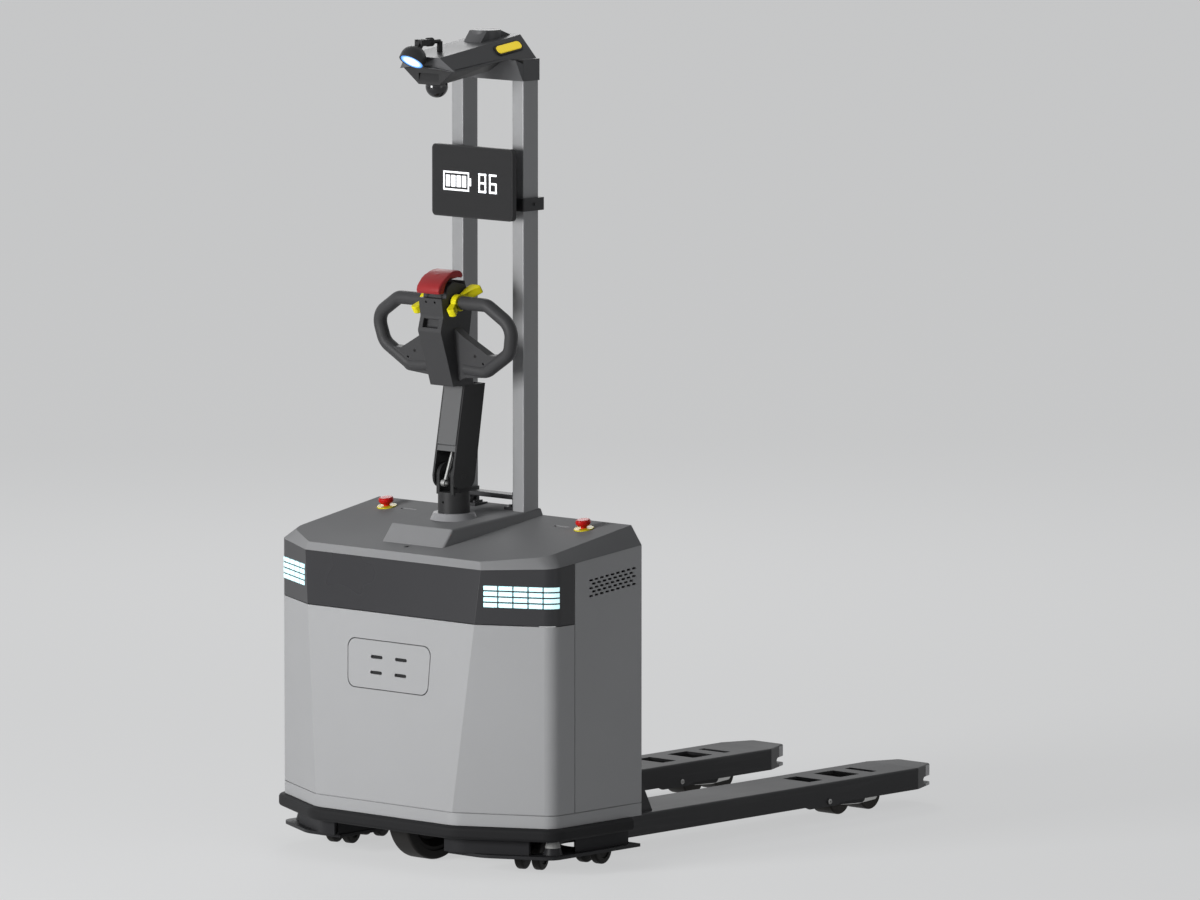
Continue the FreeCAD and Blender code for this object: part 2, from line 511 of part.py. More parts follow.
def mast():
    """Two rectangular tubes from the deck to the head, their brackets, bolts and crossbar."""
    foot_z = DECK_BOTTOM + DECK_THICKNESS
    tubes, pieces = [], [screen_clamp()]
    inner = POST_X - POST_WIDTH / 2
    y0, y1 = -POST_DEPTH + 2, -POST_BACK - 3
    z = console_top_z(-POST_DEPTH)
    shelf_z = console_top_z(TILLER_Y) - STEER_SHELF_DROP
    shelf = block(-inner - POST_WIDTH, inner + POST_WIDTH, TILLER_Y - 60, y1, shelf_z, shelf_z + 12)
    boss = rod(COLUMN_RADIUS + 12, V(0, TILLER_Y, shelf_z), V(0, TILLER_Y, shelf_z + 40))
    shelf = fuse(shelf, boss)
    for side in (-1, 1):
        tube = post_box(side, 0, foot_z, POST_TOP_Z)
        upright = [e for e in tube.Edges if e.BoundBox.ZLength > 100]
        tube = tube.makeFillet(3, upright).cut(post_box(side, -POST_WALL, 0, FAR))
        tubes.append(tube)
        shelf = shelf.cut(post_box(side, 0, 0, FAR))
        x0, x1 = sorted((side * inner, side * (inner - BRACKET)))
        leg = block(x0, x1, y0, y1, z - 8, z + 46)
        x0, x1 = sorted((side * inner, side * (inner - 34)))
        foot = block(x0, x1, y0, y1, z - 8, z + 8)
        pieces.append(fuse(leg, foot).cut(console_loft()))
        face = inner - BRACKET
        for y in (y0 + 12, y1 - 12):
            pieces.append(rod(4.5, V(side * face, y, z + 17), V(side * (face - 5), y, z + 17)))
            pieces.append(rod(5, V(side * (inner - 22), y, z + 8), V(side * (inner - 22), y, z + 13)))
    shelf = shelf.cut(rod(COLUMN_RADIUS + RUN_FIT, V(0, TILLER_Y, 0), V(0, TILLER_Y, FAR)))
    half = inner - BRACKET
    bar = block(-half, half, y0 + 2, y1 - 4, CROSSBAR_Z, CROSSBAR_Z + CROSSBAR_HEIGHT)
    bar = bar.makeFillet(3, [e for e in bar.Edges if e.BoundBox.XLength > 50])
    put("mast_posts", *tubes)
    put("mast_hardware", shelf, bar, *pieces)


def head_top_z(y):
    return HEAD_TOP_BACK_Z + HEAD_SLOPE * y


def hull_solid(faces):
    """Closed solid from flat faces given as lists of points; quads are split in two."""
    skins = []
    for points in faces:
        for i in range(1, len(points) - 1):
            skins.append(Part.Face(Part.makePolygon([points[0], points[i], points[i + 1], points[0]])))
    solid = Part.makeSolid(Part.makeShell(skins))
    if solid.Volume < 0:
        solid.reverse()
    return solid.removeSplitter()


def ring_hull(rings):
    """Closed solid through rings of points with as many points each, capped at both ends."""
    faces = [list(reversed(rings[0])), rings[-1]]
    for low, high in zip(rings, rings[1:]):
        count = len(low)
        for i in range(count):
            j = (i + 1) % count
            faces.append([low[i], low[j], high[j], high[i]])
    return hull_solid(faces)


def head_section(y, top_half, top, rim_half, rim_y, rim, low_half, low):
    """Six-sided section of the head: flat top, sloping shoulders, and sloping underside."""
    right = [V(low_half, y, low), V(rim_half, rim_y, rim), V(top_half, y, top)]
    left = [V(-p.x, p.y, p.z) for p in reversed(right)]
    return right + left


def head():
    """Roof-shaped head on the posts, its dark belly and everything mounted on it."""
    rim_low = HEAD_RIM_FRONT_Z - 1
    front = head_section(HEAD_FRONT_Y, HEAD_TOP_HALF, head_top_z(HEAD_FRONT_Y), HEAD_RIM_HALF - 3,
                         HEAD_RIM_FRONT_Y, HEAD_RIM_FRONT_Z, HEAD_NOSE_HALF, HEAD_NOSE_Z)
    middle = head_section(HEAD_RIM_BACK_Y, HEAD_TOP_HALF, head_top_z(HEAD_RIM_BACK_Y), HEAD_RIM_HALF + 3,
                          HEAD_RIM_BACK_Y, HEAD_RIM_BACK_Z, HEAD_NOSE_HALF, HEAD_RIM_BACK_Z - 2)
    back = head_section(-0.5, HEAD_TOP_HALF, head_top_z(-0.5), HEAD_BACK_HALF, -0.5, HEAD_BACK_Z,
                        HEAD_NOSE_HALF, HEAD_BACK_Z - 1)
    shell = ring_hull([front, middle, back])
    tower = rod(LIDAR_RADIUS, V(0, LIDAR_Y, LIDAR_TOP_Z - 60), V(0, LIDAR_Y, LIDAR_TOP_Z))
    ramp_front = LIDAR_Y - LIDAR_RADIUS - LIDAR_RAMP
    ramp = side_profile([(ramp_front, head_top_z(ramp_front) - 1, 0), (LIDAR_Y, LIDAR_TOP_Z - 60, 0),
                         (-6, head_top_z(0) - 20, 0), (-6, head_top_z(0) - 1, 0),
                         (LIDAR_Y + LIDAR_RADIUS * 0.6, LIDAR_TOP_Z - 1.5, 0), (LIDAR_Y, LIDAR_TOP_Z - 1.5, 0),
                         (LIDAR_Y - LIDAR_RADIUS * 0.8, LIDAR_TOP_Z - 1.5, 0)], -LIDAR_RADIUS * 0.8, LIDAR_RADIUS * 0.8)
    sleeve = fuse(*[post_box(side, 2.0, HEAD_SLEEVE_Z, HEAD_BACK_Z + 12) for side in (-1, 1)])
    sleeve = sleeve.common(block(-FAR, FAR, -FAR, -0.5, 0, FAR))
    adapter = side_profile([(-POST_DEPTH - 2, HEAD_SLEEVE_Z, 0), (-POST_DEPTH - 8, HEAD_SLEEVE_Z, 0),
                            (HEAD_RIM_BACK_Y - 8, HEAD_RIM_BACK_Z - 1, 0), (-POST_DEPTH - 2, HEAD_BACK_Z, 0)],
                           -HEAD_BACK_HALF, HEAD_BACK_HALF)
    shell = fuse(shell, tower, ramp, sleeve, adapter)
    for side in (-1, 1):
        shell = shell.cut(post_box(side, 0, 0, POST_TOP_Z))
    belly = belly_hull()
    shell = shell.cut(belly)
    lamps, bezels = [], []
    for side in (-1, 1):
        lamp, bezel, pocket = side_lamp(side)
        lamps.append(lamp)
        bezels.append(bezel)
        shell = shell.cut(pocket)
    stalk = spot_bracket()
    put("head_shell", shell.cut(stalk))
    put("side_lamps", *lamps)
    dome = Part.makeSphere(DOME_RADIUS, V(0, DOME_Y, DOME_Z))
    neck = rod(DOME_RADIUS * 0.8, V(0, DOME_Y, DOME_Z), V(0, DOME_Y, DOME_Z + 20))
    camera = fuse(dome, neck)
    put("dome_camera", camera)
    put("head_trim", belly.cut(camera), stalk, *bezels)
    spotlight()


def belly_hull():
    """Underside of the head: a keel that narrows downwards, with a recessed front."""
    front = belly_section(HEAD_RIM_FRONT_Y + 4, HEAD_RIM_HALF - 6, HEAD_RIM_FRONT_Z + 6, BELLY_FRONT_Z)
    back = belly_section(HEAD_RIM_BACK_Y - 10, HEAD_RIM_HALF - 2, HEAD_RIM_BACK_Z + 4, BELLY_BACK_Z)
    keel = ring_hull([front, back])
    mouth = side_profile([(HEAD_FRONT_Y - 10, BELLY_FRONT_Z - 10, 0), (DOME_Y - DOME_RADIUS - 6, BELLY_FRONT_Z - 10, 0),
                          (HEAD_RIM_FRONT_Y + 10, HEAD_RIM_FRONT_Z - 8, 0), (HEAD_FRONT_Y - 10, HEAD_RIM_FRONT_Z - 8, 0)],
                         -BELLY_HALF, BELLY_HALF)
    return keel.cut(mouth)


def belly_section(y, half, top, low):
    return [V(BELLY_HALF, y, low), V(half, y, top), V(-half, y, top), V(-BELLY_HALF, y, low)]


def side_lamp(side):
    """Amber lamp and its bezel, let into the head's sloping shoulder."""
    run = HEAD_RIM_HALF + 3 - HEAD_TOP_HALF
    drop = head_top_z(HEAD_RIM_BACK_Y) - HEAD_RIM_BACK_Z
    across = V(side * run, 0, -drop).normalize()
    along = V(0, 1, HEAD_SLOPE * 0.9).normalize()
    out = V(side * drop, 0, run).normalize()
    y = LAMP_Y
    centre = V(side * HEAD_TOP_HALF, y, head_top_z(y)) + across * (0.46 * math.hypot(run, drop))

    def oblong(length, width, start, reach):
        half_l, half_w = along * (length / 2), across * (width / 2)
        base = centre + out * start
        marks = corners([base - half_l - half_w, base + half_l - half_w,
                         base + half_l + half_w, base - half_l + half_w], width * 0.4)
        return plate(marks, out * reach)

    lamp = oblong(LAMP_LENGTH, LAMP_WIDTH, -6, 11)
    pocket = oblong(LAMP_LENGTH + 12, LAMP_WIDTH + 10, -6, 20)
    bezel = oblong(LAMP_LENGTH + 12, LAMP_WIDTH + 10, -6, 8.5).cut(lamp)
    return lamp, bezel, pocket


def spot_bracket():
    """Stalk along the nose with a knurled lock ring and a forked end."""
    y0, z = SPOT_STALK_Y, SPOT_PIVOT_Z
    y1 = SPOT_PIVOT_Y + 16
    foot = rod(7, V(0, y0, head_top_z(y0) - 4), V(0, y0, z))
    arm = rod(5, V(0, y0, z), V(0, y1, z))
    lock = rod(11, V(0, y1 + 8, z), V(0, y1 + 26, z))
    grooves = []
    for i in range(SPOT_KNURLS):
        a = 2 * math.pi * i / SPOT_KNURLS
        spot = V(11.3 * math.cos(a), 0, z + 11.3 * math.sin(a))
        grooves.append(rod(1.4, V(spot.x, y1 + 7, spot.z), V(spot.x, y1 + 27, spot.z)))
    fork = block(-12, 12, SPOT_PIVOT_Y - 8, y1 + 8, z - 8, z + 8)
    fork = fork.cut(block(-6.3, 6.3, SPOT_PIVOT_Y - 20, SPOT_PIVOT_Y + 10.5, 0, FAR))
    pin = cross_rod(3.5, 12, SPOT_PIVOT_Y, z)
    body = fuse(foot, arm, fork, lock).cut(Part.makeCompound(grooves))
    return fuse(body, pin)


def spotlight():
    """Floor spotlight: bell-shaped cup, lens and a rear lug on the forked bracket."""
    pivot = V(0, SPOT_PIVOT_Y, SPOT_PIVOT_Z)
    r, d = SPOT_RADIUS, SPOT_DEPTH
    arc = Part.Arc(V(0, 0, 0), V(r * 0.72, 0, -d * 0.22), V(r, 0, -d * 0.8)).toShape()
    inner = Part.Arc(V(0, 0, -3), V(r * 0.68, 0, -d * 0.28), V(r - 3, 0, -d * 0.8)).toShape()
    edges = [arc, Part.makeLine(V(r, 0, -d * 0.8), V(r, 0, -d)), Part.makeLine(V(r, 0, -d), V(r - 3, 0, -d)),
             Part.makeLine(V(r - 3, 0, -d), V(r - 3, 0, -d * 0.8)), inner, Part.makeLine(V(0, 0, -3), V(0, 0, 0))]
    cup = Part.Face(Part.Wire(Part.__sortEdges__(edges))).revolve(V(0, 0, 0), Z_AXIS, 360)
    lens = rod(r - 3, V(0, 0, -d + 2), V(0, 0, -d + 6))
    lug = block(-6, 6, -8, 8, -6, 14).fuse(cross_rod(8, 6, 0, 14)).cut(cross_rod(3.5 + RUN_FIT, 20, 0, 14))
    cup = cup.fuse(lug.cut(rod(r - 8, V(0, 0, -30), V(0, 0, -5)))).removeSplitter()
    for shape in (cup, lens):
        shape.translate(V(0, 0, -14))
        shape.rotate(V(0, 0, 0), X_AXIS, SPOT_TILT - 90)
        shape.translate(pivot)
    put("spotlight", cup, lens)


def screen():
    """Flat display with rounded corners and a chamfered back."""
    w, h, y = SCREEN_WIDTH / 2, SCREEN_HEIGHT / 2, SCREEN_FRONT_Y

    def outline(shrink, depth):
        marks = [(-w, -h), (w, -h), (w, h), (-w, h)]
        points = [V(math.copysign(abs(x) - shrink, x), y + depth, SCREEN_Z + math.copysign(abs(z) - shrink, z))
                  for x, z in marks]
        return rounded_wire(corners(points, SCREEN_CORNER - shrink))

    front = Part.Face(outline(0, 0)).extrude(Y_AXIS * (SCREEN_THICKNESS - SCREEN_CHAMFER))
    back = ruled(outline(0, SCREEN_THICKNESS - SCREEN_CHAMFER), outline(SCREEN_CHAMFER, SCREEN_THICKNESS))
    glass = Part.Face(outline(4, -0.6)).extrude(Y_AXIS * 2.6)
    put("screen_case", fuse(front, back).cut(glass))
    put("screen_glass", glass)


def screen_clamp():
    """Split clamp round the right-hand post with an arm and pad for the screen."""
    z, y = SCREEN_Z - SCREEN_HEIGHT / 2 + 38, SCREEN_FRONT_Y + SCREEN_THICKNESS
    outer = post_box(1, CLAMP_WALL, z - 16, z + 16)
    upright = [e for e in outer.Edges if e.BoundBox.ZLength > 30]
    ring = outer.makeFillet(5, upright)
    inner = POST_X - POST_WIDTH / 2
    arm = block(inner - 2, inner + 23, y, -POST_BACK - POST_DEPTH - CLAMP_WALL + 2, z - 12, z + 12)
    pad = block(inner - 33, inner + 31, y, y + 5, z - 15, z + 34)
    edge = POST_X + POST_WIDTH / 2 + CLAMP_WALL
    screw = rod(4, V(edge, -30, z), V(edge + 4, -30, z))
    return fuse(ring, arm, pad, screw).cut(post_box(1, 0, 0, FAR))


# ---- tiller ------------------------------------------------------------------

def stem_point(depth, z):
    """Point of the leaning stem: depth 0 is its front face."""
    lean = math.tan(math.radians(STEM_LEAN))
    return (TILT_Y - STEM_DEPTH / 2 + depth + lean * (z - TILT_Z), z)


def tiller_column():
    """Round column with two ears that carry the tilt pin."""
    base_z = console_top_z(TILLER_Y) - 10
    body = rod(COLUMN_RADIUS, V(0, TILLER_Y, base_z - 90), V(0, TILLER_Y, COLUMN_TOP_Z))
    ears = []
    for side in (-1, 1):
        x0, x1 = sorted((side * EAR_INNER, side * (EAR_INNER + EAR_THICKNESS)))
        low = COLUMN_TOP_Z - 6
        profile = [(TILT_Y - EAR_RADIUS, low, 0), (TILT_Y + EAR_RADIUS, low, 0),
                   (TILT_Y + EAR_RADIUS, TILT_Z + EAR_RADIUS, EAR_RADIUS - 0.01),
                   (TILT_Y - EAR_RADIUS, TILT_Z + EAR_RADIUS, EAR_RADIUS - 0.01)]
        ears.append(side_profile(profile, x0, x1))
    pin = cross_rod(TILT_PIN_RADIUS, STEM_HALF, TILT_Y, TILT_Z)
    hole = Part.makeCylinder(3, 30, V(0, TILLER_Y - COLUMN_RADIUS - 5, COLUMN_TOP_Z - 25), Y_AXIS)
    put("tiller_column", fuse(body.cut(hole), *ears, pin))


def tiller_stem():
    """Hollow leaning stem: two cheeks, a back wall, a cross wall, and a pale front plate."""
    low, top = TILT_Z, STEM_TOP_Z
    open_z = TILT_Z + 62
    ring = EAR_RADIUS + 2
    cheeks = []
    for side in (-1, 1):
        x0, x1 = sorted((side * STEM_HALF, side * (STEM_HALF - CHEEK)))
        front_low, back_low = stem_point(0, low), stem_point(STEM_DEPTH, low)
        marks = [(*stem_point(STEM_DEPTH, top), 0), (*stem_point(0, top), 0), (*front_low, 0),
                 (front_low[0] + 3, low - ring, ring * 0.8), (back_low[0], low - ring, ring * 0.8)]
        cheek = side_profile(marks, x0, x1)
        cheeks.append(cheek.cut(cross_rod(TILT_PIN_RADIUS + RUN_FIT, STEM_HALF + 5, TILT_Y, TILT_Z)))
    inner = STEM_HALF - CHEEK
    wall_low = TILT_Z + ring + 4
    back = side_profile([(*stem_point(STEM_DEPTH, top), 0), (*stem_point(STEM_DEPTH - 6, top), 0),
                         (*stem_point(STEM_DEPTH - 6, wall_low), 0), (*stem_point(STEM_DEPTH, wall_low), 0)],
                        -inner, inner)
    lip = side_profile([(*stem_point(4, top), 0), (*stem_point(10, top), 0),
                        (*stem_point(10, open_z), 0), (*stem_point(4, open_z), 0)], -inner, inner)
    sill = side_profile([(*stem_point(0, open_z + 14), 0), (*stem_point(4, open_z + 14), 0),
                         (*stem_point(4, open_z), 0), (*stem_point(0, open_z), 0)], -inner, inner)
    cover = side_profile([(*stem_point(-1.5, top - 3), 0), (*stem_point(4, top - 3), 0),
                          (*stem_point(4, open_z + 16), 0), (*stem_point(-1.5, open_z + 16), 0)],
                         -STEM_HALF + 4, STEM_HALF - 4)
    upper = strut_ends()[0]
    pin = cross_rod(5, inner, upper.y, upper.z)
    put("tiller_stem", fuse(*cheeks, back, lip, sill, cover, pin))


def strut_ends():
    """Upper anchor in the stem and lower anchor in front of the tilt pin."""
    lean, drop = math.radians(STEM_LEAN), math.radians(STRUT_LOWER_ANGLE)
    upper = V(0, TILT_Y + STRUT_UPPER * math.sin(lean) + 10, TILT_Z + STRUT_UPPER * math.cos(lean))
    lower = V(0, TILT_Y - STRUT_LOWER * math.cos(drop), TILT_Z - STRUT_LOWER * math.sin(drop))
    return upper, lower


def gas_strut():
    """Tilt strut inside the stem: cylinder pinned at the top, rod with an eye at the bottom."""
    upper, lower = strut_ends()
    run = (upper - lower).normalize()
    body = rod(STRUT_RADIUS, upper - run * 22, upper - run * 104)
    eye = cross_rod(9, 5, upper.y, upper.z).cut(cross_rod(5 + RUN_FIT, 20, upper.y, upper.z))
    neck = rod(5, upper - run * 8, upper - run * 24).cut(cross_rod(7, 20, upper.y, upper.z))
    bore = rod(STRUT_ROD_RADIUS + RUN_FIT, upper - run * 36, upper - run * 130)
    put("strut_cylinder", fuse(body, eye, neck).cut(bore))
    shaft = rod(STRUT_ROD_RADIUS, upper - run * 82, lower + run * 7)
    foot = cross_rod(9, 6, lower.y, lower.z).cut(cross_rod(5, 20, lower.y, lower.z))
    put("strut_rod", fuse(shaft, foot))


def grip_y(z):
    return GRIP_LOW_Y - GRIP_LEAN * (z - GRIP_LOW_Z)


def grip_point(x, z):
    return V(x, grip_y(z), z)


THROTTLE_Y, THROTTLE_Z = grip_y(GRIP_TOP_Z), GRIP_TOP_Z


def tiller_head():
    """Central block, wings and the two hand loops, cast in one piece."""
    outline = [(-152, STEM_TOP_Z, 0), (-226, STEM_TOP_Z, 0), (-272, STEM_TOP_Z + 140, 14),
               (-262, STEM_TOP_Z + 176, 6), (-270, STEM_TOP_Z + 226, 10), (-236, STEM_TOP_Z + 284, 34),
               (-190, STEM_TOP_Z + 276, 26), (-158, STEM_TOP_Z + 190, 40), (-170, STEM_TOP_Z + 110, 60)]
    body = side_profile(outline, -HEAD_BLOCK_HALF + 3, HEAD_BLOCK_HALF - 3)
    sides = [e for e in body.Edges if e.BoundBox.XLength < 0.01]
    skirt = side_profile([(-152, STEM_TOP_Z - 30, 0), (-192, STEM_TOP_Z - 30, 0), (-230, STEM_TOP_Z + 10, 0),
                          (-150, STEM_TOP_Z + 60, 0)], -STEM_HALF - 4, STEM_HALF + 4)
    loops = []
    for side in (-1, 1):
        loops.append(hand_loop(side))
        loops.append(wing(side))
        loops.append(cross_rod(SPIGOT_RADIUS, 14, THROTTLE_Y, THROTTLE_Z, side * (HEAD_BLOCK_HALF + 11)))
    block_top = belly_zone(0)
    shape = fuse(body.cut(block_top), *loops)
    recess = side_profile([(-300, STEM_TOP_Z + 148, 0), (-255, STEM_TOP_Z + 148, 4), (-250, STEM_TOP_Z + 170, 4),
                           (-300, STEM_TOP_Z + 170, 0)], -26, 26)
    for side in (-1, 1):
        shape = shape.cut(Part.makeCylinder(3, 30, V(side * 15, -290, STEM_TOP_Z + 212), Y_AXIS))
        shape = shape.cut(Part.makeCylinder(3, 60, V(side * 128, -260, STEM_TOP_Z + 62), Y_AXIS))
    start, end = button_plunger()
    well = rod(PLUNGER_RADIUS + RUN_FIT, start, end + (end - start).normalize() * (BELLY_BUTTON_TRAVEL + 2))
    put("tiller_head", shape.cut([recess, well]))


def belly_zone(shrink):
    """Region of the head's crown that the belly button covers."""
    marks = [(-300, STEM_TOP_Z + 222 + shrink, 0), (-252, STEM_TOP_Z + 222 + shrink, 0),
             (-248, STEM_TOP_Z + 250 + shrink, 16), (-226, STEM_TOP_Z + 262 + shrink, 10),
             (-186, STEM_TOP_Z + 254 + shrink, 0), (-176, STEM_TOP_Z + 330, 0), (-300, STEM_TOP_Z + 330, 0)]
    return side_profile(marks, -FAR, FAR)


def hand_loop(side):
    """Bent tube from the throttle spigot round to the wing."""
    points = [(66, GRIP_TOP_Z, 0), (150, GRIP_TOP_Z, 0), (GRIP_OUTER_X + 8, GRIP_MID_Z + 14, 0),
              (GRIP_OUTER_X - 8, GRIP_LOW_Z + 52, 0), (128, GRIP_LOW_Z, 0), (60, GRIP_LOW_Z + 4, 0)]
    places = [grip_point(side * x, z) for x, z, _ in points]
    path = bent_path(places, [34, 44, 40, 40])
    ring = Part.Wire(Part.makeCircle(GRIP_RADIUS, places[0], X_AXIS))
    return Part.Wire(path).makePipeShell([ring], True, False)


def bent_path(points, radii):
    """Open path of straight runs joined by tangent arcs."""
    edges, last = [], points[0]
    for i, radius in enumerate(radii):
        point = points[i + 1]
        back, ahead = (points[i] - point).normalize(), (points[i + 2] - point).normalize()
        half = back.getAngle(ahead) / 2
        reach = radius / math.tan(half)
        middle = point + (back + ahead).normalize() * (radius / math.sin(half) - radius)
        start, end = point + back * reach, point + ahead * reach
        edges += [Part.makeLine(last, start), Part.Arc(start, middle, end).toShape()]
        last = end
    edges.append(Part.makeLine(last, points[-1]))
    return edges


def wing(side):
    """Flat web between the block and the lower part of a hand loop."""
    marks = [(30, STEM_TOP_Z + 8, 0), (62, STEM_TOP_Z + 22, 10), (136, GRIP_LOW_Z - 14, 20),
             (GRIP_OUTER_X - 16, GRIP_LOW_Z + 46, 12), (150, GRIP_LOW_Z + 42, 20), (70, GRIP_LOW_Z + 84, 24),
             (30, GRIP_LOW_Z + 110, 0)]
    lean = V(0, -GRIP_LEAN, 1)
    points = [(V(side * x, grip_y(z) - 11, z), r) for x, z, r in marks]
    return plate(points, V(0, 22, 22 * GRIP_LEAN))


def button_plunger():
    """Ends of the rod that guides the belly button in the crown."""
    start = V(0, -244, STEM_TOP_Z + 280)
    return start, start + V(0, 0.5, -0.866) * 52


def tiller_controls():
    """Belly button and thumb throttle."""
    crown = [(-258, STEM_TOP_Z + 233, 0), (-277, STEM_TOP_Z + 233, 0), (-284, STEM_TOP_Z + 268, 30),
             (-246, STEM_TOP_Z + 306, 34), (-194, STEM_TOP_Z + 290, 14), (-193, STEM_TOP_Z + 267, 0),
             (-226, STEM_TOP_Z + 273, 12), (-257, STEM_TOP_Z + 258, 16)]
    half = HEAD_BLOCK_HALF - 3
    cap = side_profile(crown, -half, half)
    start, end = button_plunger()
    put("belly_button", fuse(cap, rod(PLUNGER_RADIUS, start, end)))
    lobes = []
    for side in (-1, 1):
        x = side * (HEAD_BLOCK_HALF + 2 + THROTTLE_WIDTH / 2)
        hub = cross_rod(THROTTLE_HUB, THROTTLE_WIDTH / 2, THROTTLE_Y, THROTTLE_Z, x)
        wings = []
        for angle in THROTTLE_LOBES:
            lobe = side_profile([(THROTTLE_Y + 6, THROTTLE_Z - 12, 0), (THROTTLE_Y + THROTTLE_REACH, THROTTLE_Z - 8, 7),
                                 (THROTTLE_Y + THROTTLE_REACH, THROTTLE_Z + 8, 7), (THROTTLE_Y + 6, THROTTLE_Z + 16, 0)],
                                x - THROTTLE_WIDTH / 2, x + THROTTLE_WIDTH / 2)
            wings.append(turned(lobe, V(x, THROTTLE_Y, THROTTLE_Z), X_AXIS, angle))
        hub = fuse(hub, *wings)
        lobes.append(hub.cut(cross_rod(THROTTLE_BORE, 60, THROTTLE_Y, THROTTLE_Z, x)))
    put("throttle", *lobes)


# ---- frame and inside --------------------------------------------------------

def lower_box(inset, z0, z1):
    return plan_profile(plan_marks(inset, FRONT_Y, SKIRT_CREASE_RADIUS), z0, z1)


def base_frame():
    """Deck, side boxes over the casters, drive bridge with its bearing, and caster sockets."""
    deck = lower_box(WALL, DECK_BOTTOM, DECK_BOTTOM + DECK_THICKNESS)
    deck = deck.cut(rod(WHEEL_WELL_RADIUS, V(0, DRIVE_Y, 0), V(0, DRIVE_Y, BRIDGE_Z)))
    floor = PLATE_BOTTOM + PLATE_THICKNESS
    walls = lower_box(SIDE_BOX_INSET, floor, DECK_BOTTOM).cut(lower_box(SIDE_BOX_INSET + FRAME_PLATE, 0, FAR))
    walls = walls.cut(block(-INNER_WALL_X, INNER_WALL_X, -FAR, FAR, 0, FAR))
    walls = walls.cut(block(-FAR, FAR, -SIDE_BOX_INSET - FRAME_PLATE - 0.5, FAR, 0, FAR))
    inner = []
    for side in (-1, 1):
        walls = walls.cut(rod(62, V(side * SPOOL_X, SPOOL_Y, 0), V(side * SPOOL_X, SPOOL_Y, FAR)))
        x0, x1 = sorted((side * INNER_WALL_X, side * (INNER_WALL_X + FRAME_PLATE)))
        inner.append(block(x0, x1, FRONT_Y + 34, -26.5, floor, DECK_BOTTOM))
        inner.append(block(x0, x1, DRIVE_Y - 110, DRIVE_Y + 110, DECK_BOTTOM + DECK_THICKNESS, BRIDGE_Z))
    reach = INNER_WALL_X + FRAME_PLATE
    ring_z = BRIDGE_Z + DECK_THICKNESS
    bridge = block(-reach, reach, DRIVE_Y - 110, DRIVE_Y + 110, BRIDGE_Z, ring_z)
    ring = rod(RING_OUTER, V(0, DRIVE_Y, ring_z), V(0, DRIVE_Y, ring_z + RING_HEIGHT))
    bore = rod(RING_BORE + RUN_FIT, V(0, DRIVE_Y, BRIDGE_Z - 1), V(0, DRIVE_Y, FAR))
    bridge = fuse(bridge, ring).cut(bore)
    put("base_frame", fuse(deck, *walls.Solids, *inner, bridge, *caster_sockets()))


def caster_places():
    """Name, swivel centre and resting angle of each caster."""
    places = []
    for name, angle in CASTER_ANGLES.items():
        end, side = name.split("_")
        x, y = CASTER_FRONT if end == "front" else CASTER_REAR
        places.append((name, -x if side == "left" else x, y, angle))
    return places


def caster_sockets():
    sockets = []
    for _, x, y, _ in caster_places():
        flange = block(x - 40, x + 40, y - 40, y + 40, DECK_BOTTOM - 6, DECK_BOTTOM)
        housing = rod(KINGPIN_RADIUS + 18, V(x, y, DECK_BOTTOM - SOCKET_DEPTH), V(x, y, DECK_BOTTOM))
        bore = rod(KINGPIN_RADIUS + RUN_FIT, V(x, y, 0), V(x, y, DECK_BOTTOM - 2))
        sockets.append(fuse(flange, housing).cut(bore))
    return sockets


def caster_plates():
    """Floor plates with the caster openings, each with the spool that carries its corner."""
    floor = PLATE_BOTTOM + PLATE_THICKNESS
    mid = (floor + DECK_BOTTOM) / 2
    outline = plan_profile(plan_marks(2, FRONT_Y + 36, SKIRT_CREASE_RADIUS), PLATE_BOTTOM, floor)
    for side, name in ((-1, "left"), (1, "right")):
        x0, x1 = sorted((side * (INNER_WALL_X - 2), side * FAR))
        shape = outline.common(block(x0, x1, -FAR, -2, 0, FAR))
        for x, y in (CASTER_FRONT, CASTER_REAR):
            shape = shape.cut(rod(CASTER_CLEARANCE, V(side * x, y, 0), V(side * x, y, FAR)))
        x = side * SPOOL_X
        low = Part.makeCone(SPOOL_RADIUS, SPOOL_RADIUS * 0.6, mid - floor, V(x, SPOOL_Y, floor))
        high = Part.makeCone(SPOOL_RADIUS * 0.6, SPOOL_RADIUS, DECK_BOTTOM - mid, V(x, SPOOL_Y, mid))
        put("caster_plate_" + name, fuse(shape, low, high))


